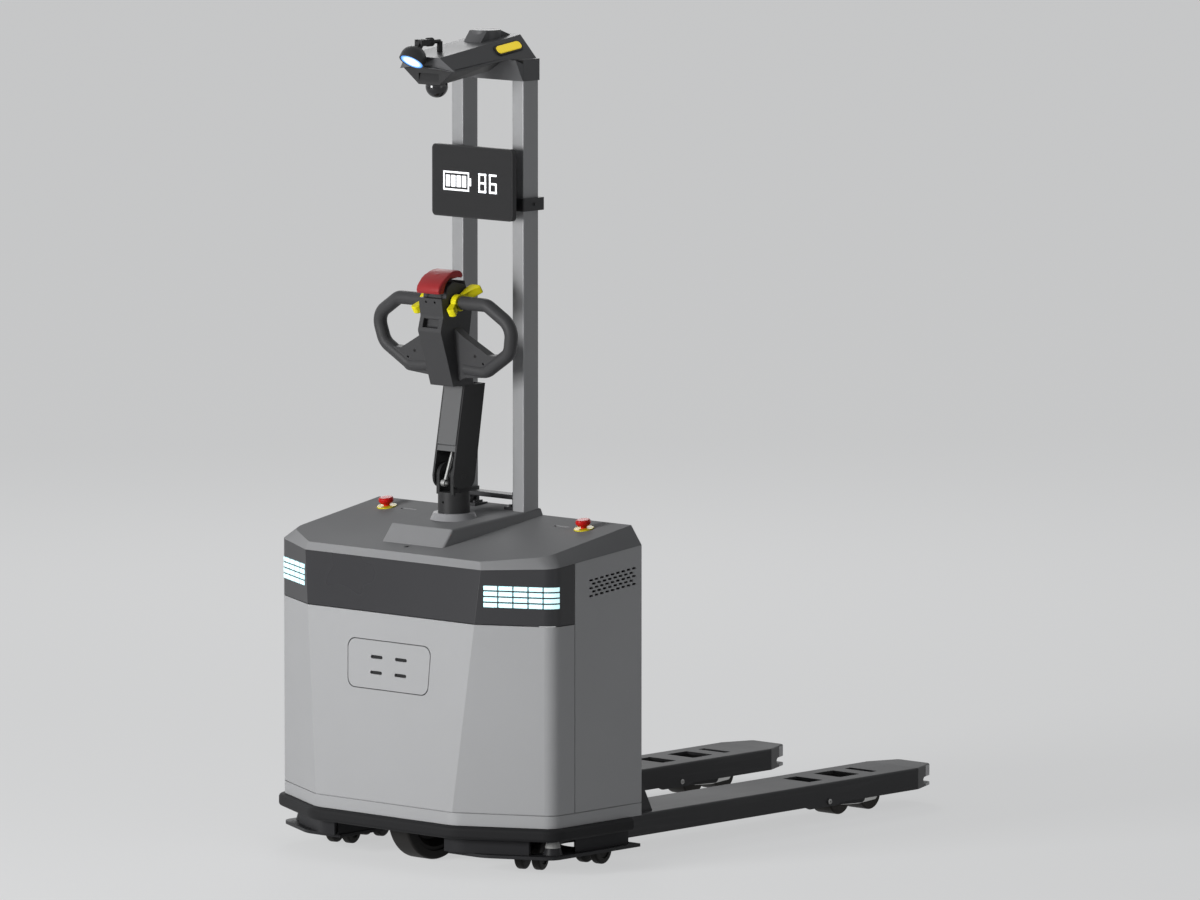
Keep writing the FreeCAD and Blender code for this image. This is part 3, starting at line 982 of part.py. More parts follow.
def inside():
    """Battery, hydraulic unit and controller carried on the deck."""
    deck_top = DECK_BOTTOM + DECK_THICKNESS
    x0 = -BODY_HALF_WIDTH + 40
    case = block(x0, x0 + BATTERY_WIDTH, BATTERY_FRONT_Y, -40, deck_top, deck_top + BATTERY_HEIGHT)
    edges = [e for e in case.Edges if e.BoundBox.ZLength > 50]
    handle = block(x0 + 60, x0 + 80, BATTERY_FRONT_Y + 60, -100, deck_top + BATTERY_HEIGHT, deck_top + BATTERY_HEIGHT + 26)
    handle = handle.cut(block(x0, x0 + 200, BATTERY_FRONT_Y + 75, -115, 0, deck_top + BATTERY_HEIGHT + 14))
    put("battery_pack", fuse(case.makeFillet(8, edges), handle))
    px, py = BODY_HALF_WIDTH - 160, -150.0
    tank = block(px - 70, px + 80, py - 60, py + 60, deck_top, deck_top + 110)
    motor = rod(55, V(px, py, deck_top + 110), V(px, py, deck_top + 290))
    cap = rod(48, V(px, py, deck_top + 290), V(px, py, deck_top + 306))
    fins = []
    for i in range(CONTROLLER_FINS):
        y = CONTROLLER_Y + i * CONTROLLER_LENGTH / CONTROLLER_FINS
        fins.append(block(CONTROLLER_X + 10, CONTROLLER_X + 180, y, y + 6, CONTROLLER_Z + 40, CONTROLLER_Z + 64))
    end_y = CONTROLLER_Y + CONTROLLER_LENGTH
    box = block(CONTROLLER_X, CONTROLLER_X + 190, CONTROLLER_Y, end_y, CONTROLLER_Z, CONTROLLER_Z + 40)
    legs = []
    for x in (CONTROLLER_X, CONTROLLER_X + 184):
        for y in (CONTROLLER_Y, end_y - 6):
            legs.append(block(x, x + 6, y, y + 6, deck_top, CONTROLLER_Z))
    put("power_unit", fuse(tank, motor, cap), fuse(box, *fins, *legs))


# ---- drive unit and casters --------------------------------------------------

def drive_unit():
    """Steered gearbox leg, vertical motor, hub and tyre."""
    top = BRIDGE_Z + 8 + RING_HEIGHT + PAD_GAP
    neck = rod(RING_BORE, V(0, DRIVE_Y, BRIDGE_Z - 6), V(0, DRIVE_Y, top))
    flange = rod(RING_OUTER - 6, V(0, DRIVE_Y, top), V(0, DRIVE_Y, top + 12))
    leg_x = -DRIVE_WIDTH / 2 - 6
    leg = side_profile([(DRIVE_Y - 60, BRIDGE_Z - 4, 0), (DRIVE_Y + 60, BRIDGE_Z - 4, 0),
                        (DRIVE_Y + 46, DRIVE_RADIUS - 46, 44), (DRIVE_Y - 46, DRIVE_RADIUS - 46, 44)],
                       leg_x - 34, leg_x)
    axle = rod(DRIVE_AXLE_RADIUS, V(leg_x - 2, DRIVE_Y, DRIVE_RADIUS), V(DRIVE_WIDTH / 2 - 2, DRIVE_Y, DRIVE_RADIUS))
    gearbox = fuse(neck, flange, leg, axle)
    motor = rod(68, V(0, DRIVE_Y, top + 12), V(0, DRIVE_Y, top + 190))
    ribs = [rod(72, V(0, DRIVE_Y, top + 40 + 18 * i), V(0, DRIVE_Y, top + 46 + 18 * i)) for i in range(6)]
    brake = rod(50, V(0, DRIVE_Y, top + 190), V(0, DRIVE_Y, top + 225))
    put("drive_unit", fuse(gearbox, motor, brake, *ribs))
    half = DRIVE_WIDTH / 2
    centre = V(-half, DRIVE_Y, DRIVE_RADIUS)
    tyre = Part.makeCylinder(DRIVE_RADIUS, DRIVE_WIDTH, centre, X_AXIS)
    tyre = tyre.makeFillet(6, [e for e in tyre.Edges if e.BoundBox.XLength < 0.01])
    rim = DRIVE_RADIUS - TYRE_THICKNESS
    tyre = tyre.cut(Part.makeCylinder(rim, DRIVE_WIDTH, centre, X_AXIS))
    hub = Part.makeCylinder(rim, DRIVE_WIDTH - 8, V(4 - half, DRIVE_Y, DRIVE_RADIUS), X_AXIS)
    hub = hub.cut(Part.makeCone(rim - 10, rim - 26, 22, V(half - 4, DRIVE_Y, DRIVE_RADIUS), X_AXIS * -1))
    bolts = []
    for i in range(6):
        a = math.pi * i / 3
        at = V(half - 26, DRIVE_Y + 42 * math.cos(a), DRIVE_RADIUS + 42 * math.sin(a))
        bolts.append(Part.makeCylinder(6, 9, at, X_AXIS))
    hub = hub.fuse(bolts).cut(Part.makeCylinder(DRIVE_AXLE_RADIUS + RUN_FIT, FAR, V(-FAR / 2, DRIVE_Y, DRIVE_RADIUS), X_AXIS))
    put("drive_wheel", tyre, hub.removeSplitter())


def caster(name, x, y, angle):
    """Swivel head with a single leg, and a twin wheel on one axle behind it."""
    axle_y = CASTER_TRAIL
    crown_top = DECK_BOTTOM - 26
    crown = rod(26, V(0, 0, 80), V(0, 0, crown_top - PAD_GAP))
    leg = side_profile([(-16, 98, 4), (-6, CASTER_RADIUS + 4, 12), (axle_y - 4, CASTER_RADIUS - 14, 10),
                        (axle_y + 15, CASTER_RADIUS - 4, 12), (axle_y + 6, 98, 4)], -CASTER_LEG_HALF, CASTER_LEG_HALF)
    kingpin = rod(KINGPIN_RADIUS, V(0, 0, 80), V(0, 0, DECK_BOTTOM - 4))
    half = CASTER_SPREAD + CASTER_WHEEL_WIDTH / 2
    reach = CASTER_LEG_HALF + RUN_FIT
    fork = fuse(crown, leg, kingpin).cut(cross_rod(CASTER_AXLE_RADIUS + RUN_FIT, 60, axle_y, CASTER_RADIUS))
    wheels = []
    for side in (-1, 1):
        centre = side * CASTER_SPREAD
        wheel = cross_rod(CASTER_RADIUS, CASTER_WHEEL_WIDTH / 2, axle_y, CASTER_RADIUS, centre)
        wheel = wheel.makeFillet(5, [e for e in wheel.Edges if e.BoundBox.XLength < 0.01])
        dish = cross_rod(CASTER_RADIUS * 0.62, 3, axle_y, CASTER_RADIUS, centre + side * CASTER_WHEEL_WIDTH / 2)
        wheels.append(wheel.cut(dish))
    axle = cross_rod(CASTER_AXLE_RADIUS, half - 6, axle_y, CASTER_RADIUS)
    pair = fuse(*wheels, axle)
    for label, shape in (("caster_fork_", fork), ("caster_wheels_", pair)):
        shape.rotate(V(0, 0, 0), Z_AXIS, angle)
        shape.translate(V(x, y, 0))
        put(label + name, shape)


# ---- forks and lift ----------------------------------------------------------

def fork_tube(inset, y0, y1):
    return block(FORK_INNER + inset, FORK_OUTER - inset, y0, y1, FORK_TOP_Z - FORK_HEIGHT, FORK_TOP_Z - inset)


def fork():
    """Right-hand fork: folded channel with its openings, pivot bosses and rod guides."""
    side, top = FORK_SIDE_PLATE, FORK_TOP_Z
    channel = fork_tube(0, FORK_ROOT_Y, FORK_TIP_START_Y)
    long_rims = [e for e in channel.Edges if e.BoundBox.YLength > 500 and e.BoundBox.ZMin > top - 1]
    channel = channel.makeFillet(6, long_rims)
    inside = block(FORK_INNER + side, FORK_OUTER - side, FORK_ROOT_Y + 10, FORK_TIP_START_Y - 30, 0, top - FORK_TOP_PLATE)
    channel = channel.cut(inside)
    windows = [(TOOL_WINDOW_Y, 54), (ROLLER_Y - TANDEM_HALF_BASE - 15, 76), (ROLLER_Y + TANDEM_HALF_BASE - 13, 24)]
    for y, length in windows:
        marks = [(FORK_X - WINDOW_HALF, y, 4), (FORK_X + WINDOW_HALF, y, 4),
                 (FORK_X + WINDOW_HALF, y + length, 4), (FORK_X - WINDOW_HALF, y + length, 4)]
        channel = channel.cut(plan_profile(marks, top - FORK_TOP_PLATE - 5, top + 5))
    skirt_low = top - FORK_HEIGHT
    for x0 in (FORK_INNER, FORK_OUTER - side):
        ear = side_profile([(ARM_PIVOT_Y - 88, skirt_low, 0), (ARM_PIVOT_Y - 74, skirt_low - 6, 0),
                            (ARM_PIVOT_Y + 26, skirt_low - 6, 0), (ARM_PIVOT_Y + 44, skirt_low, 0),
                            (ARM_PIVOT_Y + 44, skirt_low + 10, 0), (ARM_PIVOT_Y - 88, skirt_low + 10, 0)], x0, x0 + side)
        channel = channel.fuse(ear)
    for y in ROD_GUIDE_Y:
        guide = block(FORK_X - 14, FORK_X + 14, y, y + 10, ARM_PIVOT_Z + ROD_LEVER - 13, top - FORK_TOP_PLATE)
        channel = channel.fuse(guide.cut(guide_bore(y)))
    pin_hole = rod(ARM_PIN_RADIUS, V(FORK_INNER - 5, ARM_PIVOT_Y, ARM_PIVOT_Z), V(FORK_OUTER + 5, ARM_PIVOT_Y, ARM_PIVOT_Z))
    heel = side_profile([(FORK_ROOT_Y, top - 2, 0), (FORK_ROOT_Y + HEEL_REACH, top - 2, 0), (FORK_ROOT_Y, HEEL_TOP_Z, 0)],
                        FORK_INNER + 20, FORK_INNER + 30)
    second = heel.copy()
    second.translate(V(FORK_OUTER - FORK_INNER - 50, 0, 0))
    return fuse(channel.cut(pin_hole), heel, second)


def guide_bore(y):
    z = ARM_PIVOT_Z + ROD_LEVER
    return rod(ROD_RADIUS + RUN_FIT, V(FORK_X, y - 20, z), V(FORK_X, y + 30, z))


def fork_tip():
    """Sensor nose of the right-hand fork: tapered, with a mouth open to three sides."""
    low, y0, y1 = FORK_TOP_Z - FORK_HEIGHT, FORK_TIP_START_Y, FORK_TIP_Y
    nose = plan_profile([(FORK_INNER, y0, 0), (FORK_OUTER, y0, 0), (FORK_X + TIP_HALF, y1, 14),
                         (FORK_X - TIP_HALF, y1, 14)], low, FORK_TOP_Z)
    rims = [e for e in nose.Edges if e.BoundBox.ZLength < 0.01 and e.BoundBox.ZMin > FORK_TOP_Z - 1 and e.BoundBox.YMax > y0 + 1]
    nose = nose.makeFillet(4, rims)
    mouth = side_profile([(y1 - 52, MOUTH_Z, 8.9), (y1 + 20, MOUTH_Z, 0), (y1 + 20, MOUTH_Z + MOUTH_HEIGHT, 0),
                          (y1 - 52, MOUTH_Z + MOUTH_HEIGHT, 8.9)], 0, FAR)
    return nose.cut(mouth)


def trail_arm():
    """Right-hand trail arm: two cheeks, a pivot tube, a tie plate and the push lug."""
    parts = []
    for side in (-1, 1):
        inner = TANDEM_OUTER + 2.0
        x0, x1 = sorted((FORK_X + side * inner, FORK_X + side * (inner + ARM_THICKNESS)))
        cheek = side_profile([(ARM_PIVOT_Y - 20, ARM_PIVOT_Z - 16, 15), (ROLLER_Y + 16, ROLLER_RADIUS - 15, 14),
                              (ROLLER_Y + 16, ROLLER_RADIUS + 15, 14), (ARM_PIVOT_Y - 20, ARM_PIVOT_Z + 20, 17)], x0, x1)
        parts.append(cheek)
    half = TANDEM_OUTER + 2.0 + ARM_THICKNESS
    tube = cross_rod(16, half, ARM_PIVOT_Y, ARM_PIVOT_Z, FORK_X)
    tie = block(FORK_X - half, FORK_X + half, ARM_PIVOT_Y + 10, ROLLER_Y - TANDEM_HALF_BASE - ROLLER_RADIUS - 6,
                ARM_PIVOT_Z - 4, ARM_PIVOT_Z + 6)
    lug = side_profile([(ARM_PIVOT_Y - 9, ARM_PIVOT_Z, 0), (ARM_PIVOT_Y + 9, ARM_PIVOT_Z, 0),
                        (ARM_PIVOT_Y + 8, ARM_PIVOT_Z + ROD_LEVER + 8, 7), (ARM_PIVOT_Y - 8, ARM_PIVOT_Z + ROD_LEVER + 8, 7)],
                       FORK_X - 12, FORK_X + 12)
    body = fuse(*parts, tube, tie, lug)
    body = body.cut(cross_rod(ARM_PIN_RADIUS + RUN_FIT, FAR / 4, ARM_PIVOT_Y, ARM_PIVOT_Z, FORK_X))
    axle = cross_rod(ROLLER_AXLE_RADIUS, half, ROLLER_Y, ROLLER_RADIUS, FORK_X)
    return fuse(body, axle)


TANDEM_OUTER = ROLLER_HALF + 4.0 + TANDEM_PLATE


def tandem():
    """Right-hand rocker that carries two rollers."""
    plates = []
    for side in (-1, 1):
        x0, x1 = sorted((FORK_X + side * (TANDEM_OUTER - TANDEM_PLATE), FORK_X + side * TANDEM_OUTER))
        y0, y1 = ROLLER_Y - TANDEM_HALF_BASE, ROLLER_Y + TANDEM_HALF_BASE
        shape = side_profile([(y0 - 15, ROLLER_RADIUS - 13, 12), (ROLLER_Y, ROLLER_RADIUS - 18, 30), (y1 + 15, ROLLER_RADIUS - 13, 12),
                              (y1 + 15, ROLLER_RADIUS + 13, 12), (ROLLER_Y, ROLLER_RADIUS + 18, 30), (y0 - 15, ROLLER_RADIUS + 13, 12)], x0, x1)
        plates.append(shape)
    half = TANDEM_OUTER - TANDEM_PLATE
    tube = cross_rod(13, half, ROLLER_Y, ROLLER_RADIUS, FORK_X)
    body = fuse(*plates, tube).cut(cross_rod(ROLLER_AXLE_RADIUS + RUN_FIT, 200, ROLLER_Y, ROLLER_RADIUS, FORK_X))
    axles = [cross_rod(ROLLER_AXLE_RADIUS, half + TANDEM_PLATE, ROLLER_Y + dy, ROLLER_RADIUS, FORK_X)
             for dy in (-TANDEM_HALF_BASE, TANDEM_HALF_BASE)]
    return fuse(body, *axles)


def roller(dy):
    shape = cross_rod(ROLLER_RADIUS, ROLLER_HALF, ROLLER_Y + dy, ROLLER_RADIUS, FORK_X)
    shape = shape.makeFillet(4, [e for e in shape.Edges if e.BoundBox.XLength < 0.01])
    return shape.cut(cross_rod(ROLLER_AXLE_RADIUS + RUN_FIT, 200, ROLLER_Y + dy, ROLLER_RADIUS, FORK_X))


def push_rod():
    z = ARM_PIVOT_Z + ROD_LEVER
    shaft = rod(ROD_RADIUS, V(FORK_X, FORK_ROOT_Y + 24, z), V(FORK_X, ARM_PIVOT_Y - 22, z))
    pad = block(FORK_X - 8, FORK_X + 8, ARM_PIVOT_Y - 28, ARM_PIVOT_Y - 14, z - 6, z + 7)
    return fuse(shaft, pad)


def forks():
    """Both forks with everything that hangs under them."""
    pin = rod(ARM_PIN_RADIUS, V(FORK_INNER, ARM_PIVOT_Y, ARM_PIVOT_Z), V(FORK_OUTER + 2, ARM_PIVOT_Y, ARM_PIVOT_Z))
    parts = [("fork", fuse(fork(), pin)), ("trail_arm", trail_arm()), ("tandem", tandem()),
             ("load_roller_rear", roller(-TANDEM_HALF_BASE)), ("load_roller_front", roller(TANDEM_HALF_BASE))]
    for name, shape in parts:
        put(name + "_right", shape)
        put(name + "_left", mirror(shape))
    sensor_y = FORK_TIP_Y - 30
    sensor = rod(17, V(FORK_X, sensor_y, MOUTH_Z), V(FORK_X, sensor_y, MOUTH_Z + MOUTH_HEIGHT))
    tip, link = fork_tip(), push_rod()
    sensor = sensor.cut(tip)
    put("fork_tips", tip, mirror(tip), sensor, mirror(sensor))
    put("push_rods", link, mirror(link))


def lift():
    """Guide rails and cylinder on the body; plate, shoes and ram on the forks."""
    rails, shoes = [], []
    half, gap = RAIL_WIDTH / 2, SHOE_GAP
    plate_y = FORK_ROOT_Y - CARRIAGE_THICKNESS
    base = PLATE_BOTTOM + PLATE_THICKNESS
    deck_top = DECK_BOTTOM + DECK_THICKNESS
    for side in (-1, 1):
        x = side * RAIL_X
        rail = block(x - half, x + half, -WALL, RAIL_DEPTH, base, RAIL_TOP_Z)
        ledge = block(x - half, x + half, -60, -WALL, deck_top, deck_top + 30)
        x0, x1 = sorted((side * (POST_X + POST_WIDTH / 2), side * (RAIL_X + half)))
        head_tie = block(x0, x1, -POST_DEPTH, -WALL, RAIL_TOP_Z - 30, RAIL_TOP_Z)
        rails.append(fuse(rail, ledge, head_tie))
        for z in (SHOE_LOW_Z, SHOE_HIGH_Z):
            shoe = block(x - half - 10, x + half + 10, 10, plate_y, z, z + 60)
            shoes.append(shoe.cut(block(x - half - gap, x + half + gap, 0, RAIL_DEPTH + gap, z - 1, z + 61)))
    barrel = rod(CYLINDER_RADIUS, V(0, CYLINDER_Y, base), V(0, CYLINDER_Y, CYLINDER_TOP_Z))
    bore = rod(RAM_RADIUS + RUN_FIT, V(0, CYLINDER_Y, base + 14), V(0, CYLINDER_Y, FAR))
    strap = block(-70, 70, -60, -WALL, deck_top, deck_top + 30)
    hold = block(-20, 20, -60, CYLINDER_Y, deck_top, deck_top + 30)
    put("lift_guides", *rails, fuse(barrel, strap, hold).cut(bore))
    back = block(-FORK_OUTER, FORK_OUTER, plate_y, FORK_ROOT_Y, FORK_TOP_Z - FORK_HEIGHT, CARRIAGE_TOP_Z)
    top_ends = [e for e in back.Edges if e.BoundBox.YLength > 5 and e.BoundBox.XLength < 1 and e.BoundBox.ZMin > 300]
    back = back.makeFillet(30, top_ends)
    window = front_profile([(-110, 170, 20), (110, 170, 20), (110, 350, 20), (-110, 350, 20)],
                           plate_y - 5, FORK_ROOT_Y + 5)
    ram_top = CYLINDER_TOP_Z + 62
    shelf = block(-40, 40, CYLINDER_Y - 20, plate_y, ram_top, ram_top + 18)
    ram = rod(RAM_RADIUS, V(0, CYLINDER_Y, base + 20), V(0, CYLINDER_Y, ram_top))
    put("fork_carriage", fuse(back.cut(window), shelf, ram, *shoes))


if __name__ == "__main__":
    os.makedirs("parts", exist_ok=True)
    covers()
    bumper()
    charging()
    top_side()
    estops()
    mast()
    head()
    screen()
    tiller_column()
    tiller_stem()
    gas_strut()
    tiller_head()
    tiller_controls()
    base_frame()
    caster_plates()
    inside()
    drive_unit()
    for place in caster_places():
        caster(*place)
    forks()
    lift()
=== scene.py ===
import json
import math
import bmesh
import bpy
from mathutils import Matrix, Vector
from mathutils.bvhtree import BVHTree


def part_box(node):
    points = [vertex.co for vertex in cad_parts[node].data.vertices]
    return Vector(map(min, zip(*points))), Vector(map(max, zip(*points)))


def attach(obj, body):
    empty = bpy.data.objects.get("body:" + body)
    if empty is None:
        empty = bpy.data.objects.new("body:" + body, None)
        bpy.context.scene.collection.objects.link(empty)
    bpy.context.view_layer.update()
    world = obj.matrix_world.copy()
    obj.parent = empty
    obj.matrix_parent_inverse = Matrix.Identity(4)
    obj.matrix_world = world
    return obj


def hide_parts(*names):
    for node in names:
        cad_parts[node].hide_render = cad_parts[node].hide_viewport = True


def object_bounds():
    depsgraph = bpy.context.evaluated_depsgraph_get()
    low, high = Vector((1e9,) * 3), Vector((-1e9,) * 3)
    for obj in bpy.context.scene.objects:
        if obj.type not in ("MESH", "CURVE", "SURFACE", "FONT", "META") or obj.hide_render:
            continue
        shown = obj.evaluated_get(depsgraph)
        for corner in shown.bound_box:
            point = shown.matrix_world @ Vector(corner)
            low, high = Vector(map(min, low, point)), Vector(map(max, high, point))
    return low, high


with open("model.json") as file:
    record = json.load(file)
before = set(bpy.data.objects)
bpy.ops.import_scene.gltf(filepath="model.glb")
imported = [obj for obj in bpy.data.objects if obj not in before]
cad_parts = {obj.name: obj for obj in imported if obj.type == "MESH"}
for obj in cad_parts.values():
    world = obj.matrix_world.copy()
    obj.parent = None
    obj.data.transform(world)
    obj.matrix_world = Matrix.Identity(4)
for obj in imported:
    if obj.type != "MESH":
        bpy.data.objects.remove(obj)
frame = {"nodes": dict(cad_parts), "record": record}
cad_low, cad_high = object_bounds()
nodes = frame["nodes"]

# ---- Studio ----
# A long lens looks at the truck's front right corner from far off, so the verticals stay upright.
# The truck stands on a pale seamless floor, in front of a pale room.
view_turn, view_rise, view_distance = math.radians(42.413), math.radians(6.795), 28.0
aim_height, aim_right, aim_up = 0.909, 0.2408, 0.0911
film_width, focal_length = 36.0, 335.16
to_camera = Vector((math.sin(view_turn) * math.cos(view_rise), -math.cos(view_turn) * math.cos(view_rise),
                    math.sin(view_rise)))
view_right = Vector((math.cos(view_turn), math.sin(view_turn), 0.0))
view_up = to_camera.cross(view_right)
body_back_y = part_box("back_panel")[1].y
aim = Vector((0.0, body_back_y, aim_height)) + view_right * aim_right + view_up * aim_up
camera_data = bpy.data.cameras.new("long_lens")
camera_data.sensor_width, camera_data.lens = film_width, focal_length
camera_data.clip_start, camera_data.clip_end = 1.0, 200.0
camera = bpy.data.objects.new("camera", camera_data)
camera.location = aim + to_camera * view_distance
camera.rotation_mode = "QUATERNION"
camera.rotation_quaternion = (-to_camera).to_track_quat("-Z", "Y")
bpy.context.collection.objects.link(camera)
bpy.context.scene.camera = camera
bpy.context.scene.view_settings.view_transform = "Standard"
truck_middle = Vector((0.0, 0.0, 0.9))


def soft_lamp(name, place, size, power):
    """A square soft box that points at the middle of the truck."""
    data = bpy.data.lights.new(name, "AREA")
    data.shape, data.size, data.energy = "SQUARE", size, power
    lamp = bpy.data.objects.new(name, data)
    lamp.location = place
    lamp.rotation_mode = "QUATERNION"
    lamp.rotation_quaternion = (truck_middle - Vector(place)).to_track_quat("-Z", "Y")
    bpy.context.collection.objects.link(lamp)


soft_lamp("key_box", (-1.3, -7.0, 1.9), 2.2, 365.0)
soft_lamp("side_box", (7.0, -0.5, 1.6), 2.6, 20.0)
soft_lamp("edge_box", (-4.5, 4.0, 4.2), 2.0, 60.0)


def clear_tree(tree):
    for node in list(tree.nodes):
        tree.nodes.remove(node)


def wire(tree, source, target):
    tree.links.new(source, target)


def seen_rays(tree):
    """1 for rays from the camera and for those that a mirror or glass sends on, else 0."""
    path = tree.nodes.new("ShaderNodeLightPath")
    seen = path.outputs["Is Camera Ray"]
    for kind in ("Is Glossy Ray", "Is Transmission Ray"):
        most = tree.nodes.new("ShaderNodeMath")
        most.operation = "MAXIMUM"
        wire(tree, seen, most.inputs[0])
        wire(tree, path.outputs[kind], most.inputs[1])
        seen = most.outputs[0]
    return seen


room_strength, backdrop_strength, floor_glow_share = 0.13, 0.95, 0.62
room = bpy.data.worlds.new("pale_room")
room.use_nodes = True
clear_tree(room.node_tree)
room_out = room.node_tree.nodes.new("ShaderNodeOutputWorld")
room_light = room.node_tree.nodes.new("ShaderNodeBackground")
room_seen = room.node_tree.nodes.new("ShaderNodeBackground")
room_mix = room.node_tree.nodes.new("ShaderNodeMixShader")
room_light.inputs["Color"].default_value = (0.95, 0.97, 1.0, 1.0)
room_light.inputs["Strength"].default_value = room_strength
room_seen.inputs["Color"].default_value = (0.90, 0.91, 0.92, 1.0)
room_seen.inputs["Strength"].default_value = backdrop_strength
wire(room.node_tree, seen_rays(room.node_tree), room_mix.inputs[0])
wire(room.node_tree, room_light.outputs[0], room_mix.inputs[1])
wire(room.node_tree, room_seen.outputs[0], room_mix.inputs[2])
wire(room.node_tree, room_mix.outputs[0], room_out.inputs["Surface"])
bpy.context.scene.world = room

floor_half, floor_gap = 60.0, 0.0005
floor_mesh = bpy.data.meshes.new("studio_floor")
floor_shape = bmesh.new()
bmesh.ops.create_grid(floor_shape, x_segments=2, y_segments=2, size=floor_half)
floor_shape.to_mesh(floor_mesh)
floor_shape.free()
floor = bpy.data.objects.new("studio_floor", floor_mesh)
floor.location.z = cad_low.z - floor_gap
bpy.context.collection.objects.link(floor)
floor_paint = bpy.data.materials.new("floor_paper")
floor_paint.use_nodes = True
tree = floor_paint.node_tree
clear_tree(tree)
floor_out = tree.nodes.new("ShaderNodeOutputMaterial")
floor_matt = tree.nodes.new("ShaderNodeBsdfDiffuse")
floor_glow = tree.nodes.new("ShaderNodeEmission")
floor_mix = tree.nodes.new("ShaderNodeMixShader")
floor_part = tree.nodes.new("ShaderNodeMath")
floor_part.operation = "MULTIPLY"
floor_part.inputs[1].default_value = floor_glow_share
floor_matt.inputs["Color"].default_value = (0.72, 0.725, 0.73, 1.0)
floor_glow.inputs["Color"].default_value = (0.90, 0.905, 0.91, 1.0)
floor_glow.inputs["Strength"].default_value = backdrop_strength
wire(tree, seen_rays(tree), floor_part.inputs[0])
wire(tree, floor_part.outputs[0], floor_mix.inputs[0])
wire(tree, floor_matt.outputs[0], floor_mix.inputs[1])
wire(tree, floor_glow.outputs[0], floor_mix.inputs[2])
wire(tree, floor_mix.outputs[0], floor_out.inputs["Surface"])
floor_mesh.materials.append(floor_paint)

# ---- Body covers ----
# Folded and welded sheet steel, powder coated in a fine satin grey, with softly broken edges. The
# front cover, side panels, skirt, charging plate and rear panel screw to the frame from inside.


def new_group(name, inputs, outputs):
    """Node group with float inputs (name, value) and outputs (name, kind)."""
    group = bpy.data.node_groups.new(name, "ShaderNodeTree")
    for label, value in inputs:
        socket = group.interface.new_socket(name=label, in_out="INPUT", socket_type="NodeSocketFloat")
        socket.default_value = value
    for label, kind in outputs:
        group.interface.new_socket(name=label, in_out="OUTPUT", socket_type="NodeSocket" + kind)
    return group, group.nodes.new("NodeGroupInput"), group.nodes.new("NodeGroupOutput")


def sum_node(tree, operation, first, second):
    """Math node whose inputs are sockets or numbers."""
    node = tree.nodes.new("ShaderNodeMath")
    node.operation = operation
    for place, value in ((0, first), (1, second)):
        if isinstance(value, (int, float)):
            node.inputs[place].default_value = value
        else:
            wire(tree, value, node.inputs[place])
    return node.outputs[0]


# powder coat: tiny flow ripples and a slow drift of tone over a panel
coat, coat_in, coat_out = new_group("powder_coat", (("Ripple", 700.0), ("Drift", 3.0)),
                                    (("Height", "Float"), ("Tone", "Float")))
coat_place = coat.nodes.new("ShaderNodeTexCoord")
ripple = coat.nodes.new("ShaderNodeTexNoise")
ripple.inputs["Detail"].default_value = 2.0
drift = coat.nodes.new("ShaderNodeTexNoise")
drift.inputs["Detail"].default_value = 3.0
for noise, label in ((ripple, "Ripple"), (drift, "Drift")):
    wire(coat, coat_place.outputs["Object"], noise.inputs["Vector"])
    wire(coat, coat_in.outputs[label], noise.inputs["Scale"])
wire(coat, ripple.outputs["Fac"], coat_out.inputs["Height"])
wire(coat, drift.outputs["Fac"], coat_out.inputs["Tone"])

# broken edge: rounds sharp corners in the light and marks them where the coat rubs thin
edge, edge_in, edge_out = new_group("broken_edge", (("Radius", 0.0015),),
                                    (("Normal", "Vector"), ("Rub", "Float")))
edge_bevel = edge.nodes.new("ShaderNodeBevel")
edge_bevel.samples = 4
edge_true = edge.nodes.new("ShaderNodeNewGeometry")
edge_dot = edge.nodes.new("ShaderNodeVectorMath")
edge_dot.operation = "DOT_PRODUCT"
wire(edge, edge_in.outputs["Radius"], edge_bevel.inputs["Radius"])
wire(edge, edge_bevel.outputs["Normal"], edge_dot.inputs[0])
wire(edge, edge_true.outputs["True Normal"], edge_dot.inputs[1])
edge_untouched, edge_bare = 0.97, 0.75
edge_rub = edge.nodes.new("ShaderNodeMapRange")
edge_rub.inputs["From Min"].default_value = edge_untouched
edge_rub.inputs["From Max"].default_value = edge_bare
wire(edge, edge_dot.outputs["Value"], edge_rub.inputs["Value"])
wire(edge, edge_bevel.outputs["Normal"], edge_out.inputs["Normal"])
wire(edge, edge_rub.outputs["Result"], edge_out.inputs["Rub"])


def place_group(tree, group, **values):
    """Place a node group in a material, with its own values on the named inputs."""
    node = tree.nodes.new("ShaderNodeGroup")
    node.node_tree = group
    for label, value in values.items():
        node.inputs[label].default_value = value
    return node


def tinted(tree, colour, mask, other, share=1.0):
    """Colour that turns to other by share where mask is 1."""
    mix = tree.nodes.new("ShaderNodeMix")
    mix.data_type = "RGBA"
    # a colour mix takes its two colours at sockets 6 and 7, and gives the result at output 2
    for place, value in ((6, colour), (7, other)):
        if isinstance(value, tuple):
            mix.inputs[place].default_value = (*value, 1.0)
        else:
            wire(tree, value, mix.inputs[place])
    wire(tree, mask if share == 1.0 else sum_node(tree, "MULTIPLY", mask, share), mix.inputs[0])
    return mix.outputs[2]


def surface(name, roughness=0.5, metallic=0.0, shine=0.5):
    """Empty material with one Principled shader; returns (material, tree, shader)."""
    material = bpy.data.materials.new(name)
    material.use_nodes = True
    tree = material.node_tree
    clear_tree(tree)
    out = tree.nodes.new("ShaderNodeOutputMaterial")
    shader = tree.nodes.new("ShaderNodeBsdfPrincipled")
    shader.inputs["Roughness"].default_value = roughness
    shader.inputs["Metallic"].default_value = metallic
    shader.inputs["Specular IOR Level"].default_value = shine
    wire(tree, shader.outputs[0], out.inputs["Surface"])
    return material, tree, shader


panel_drift, drift_shade, grain_height = 3.0, 0.9, 0.0004


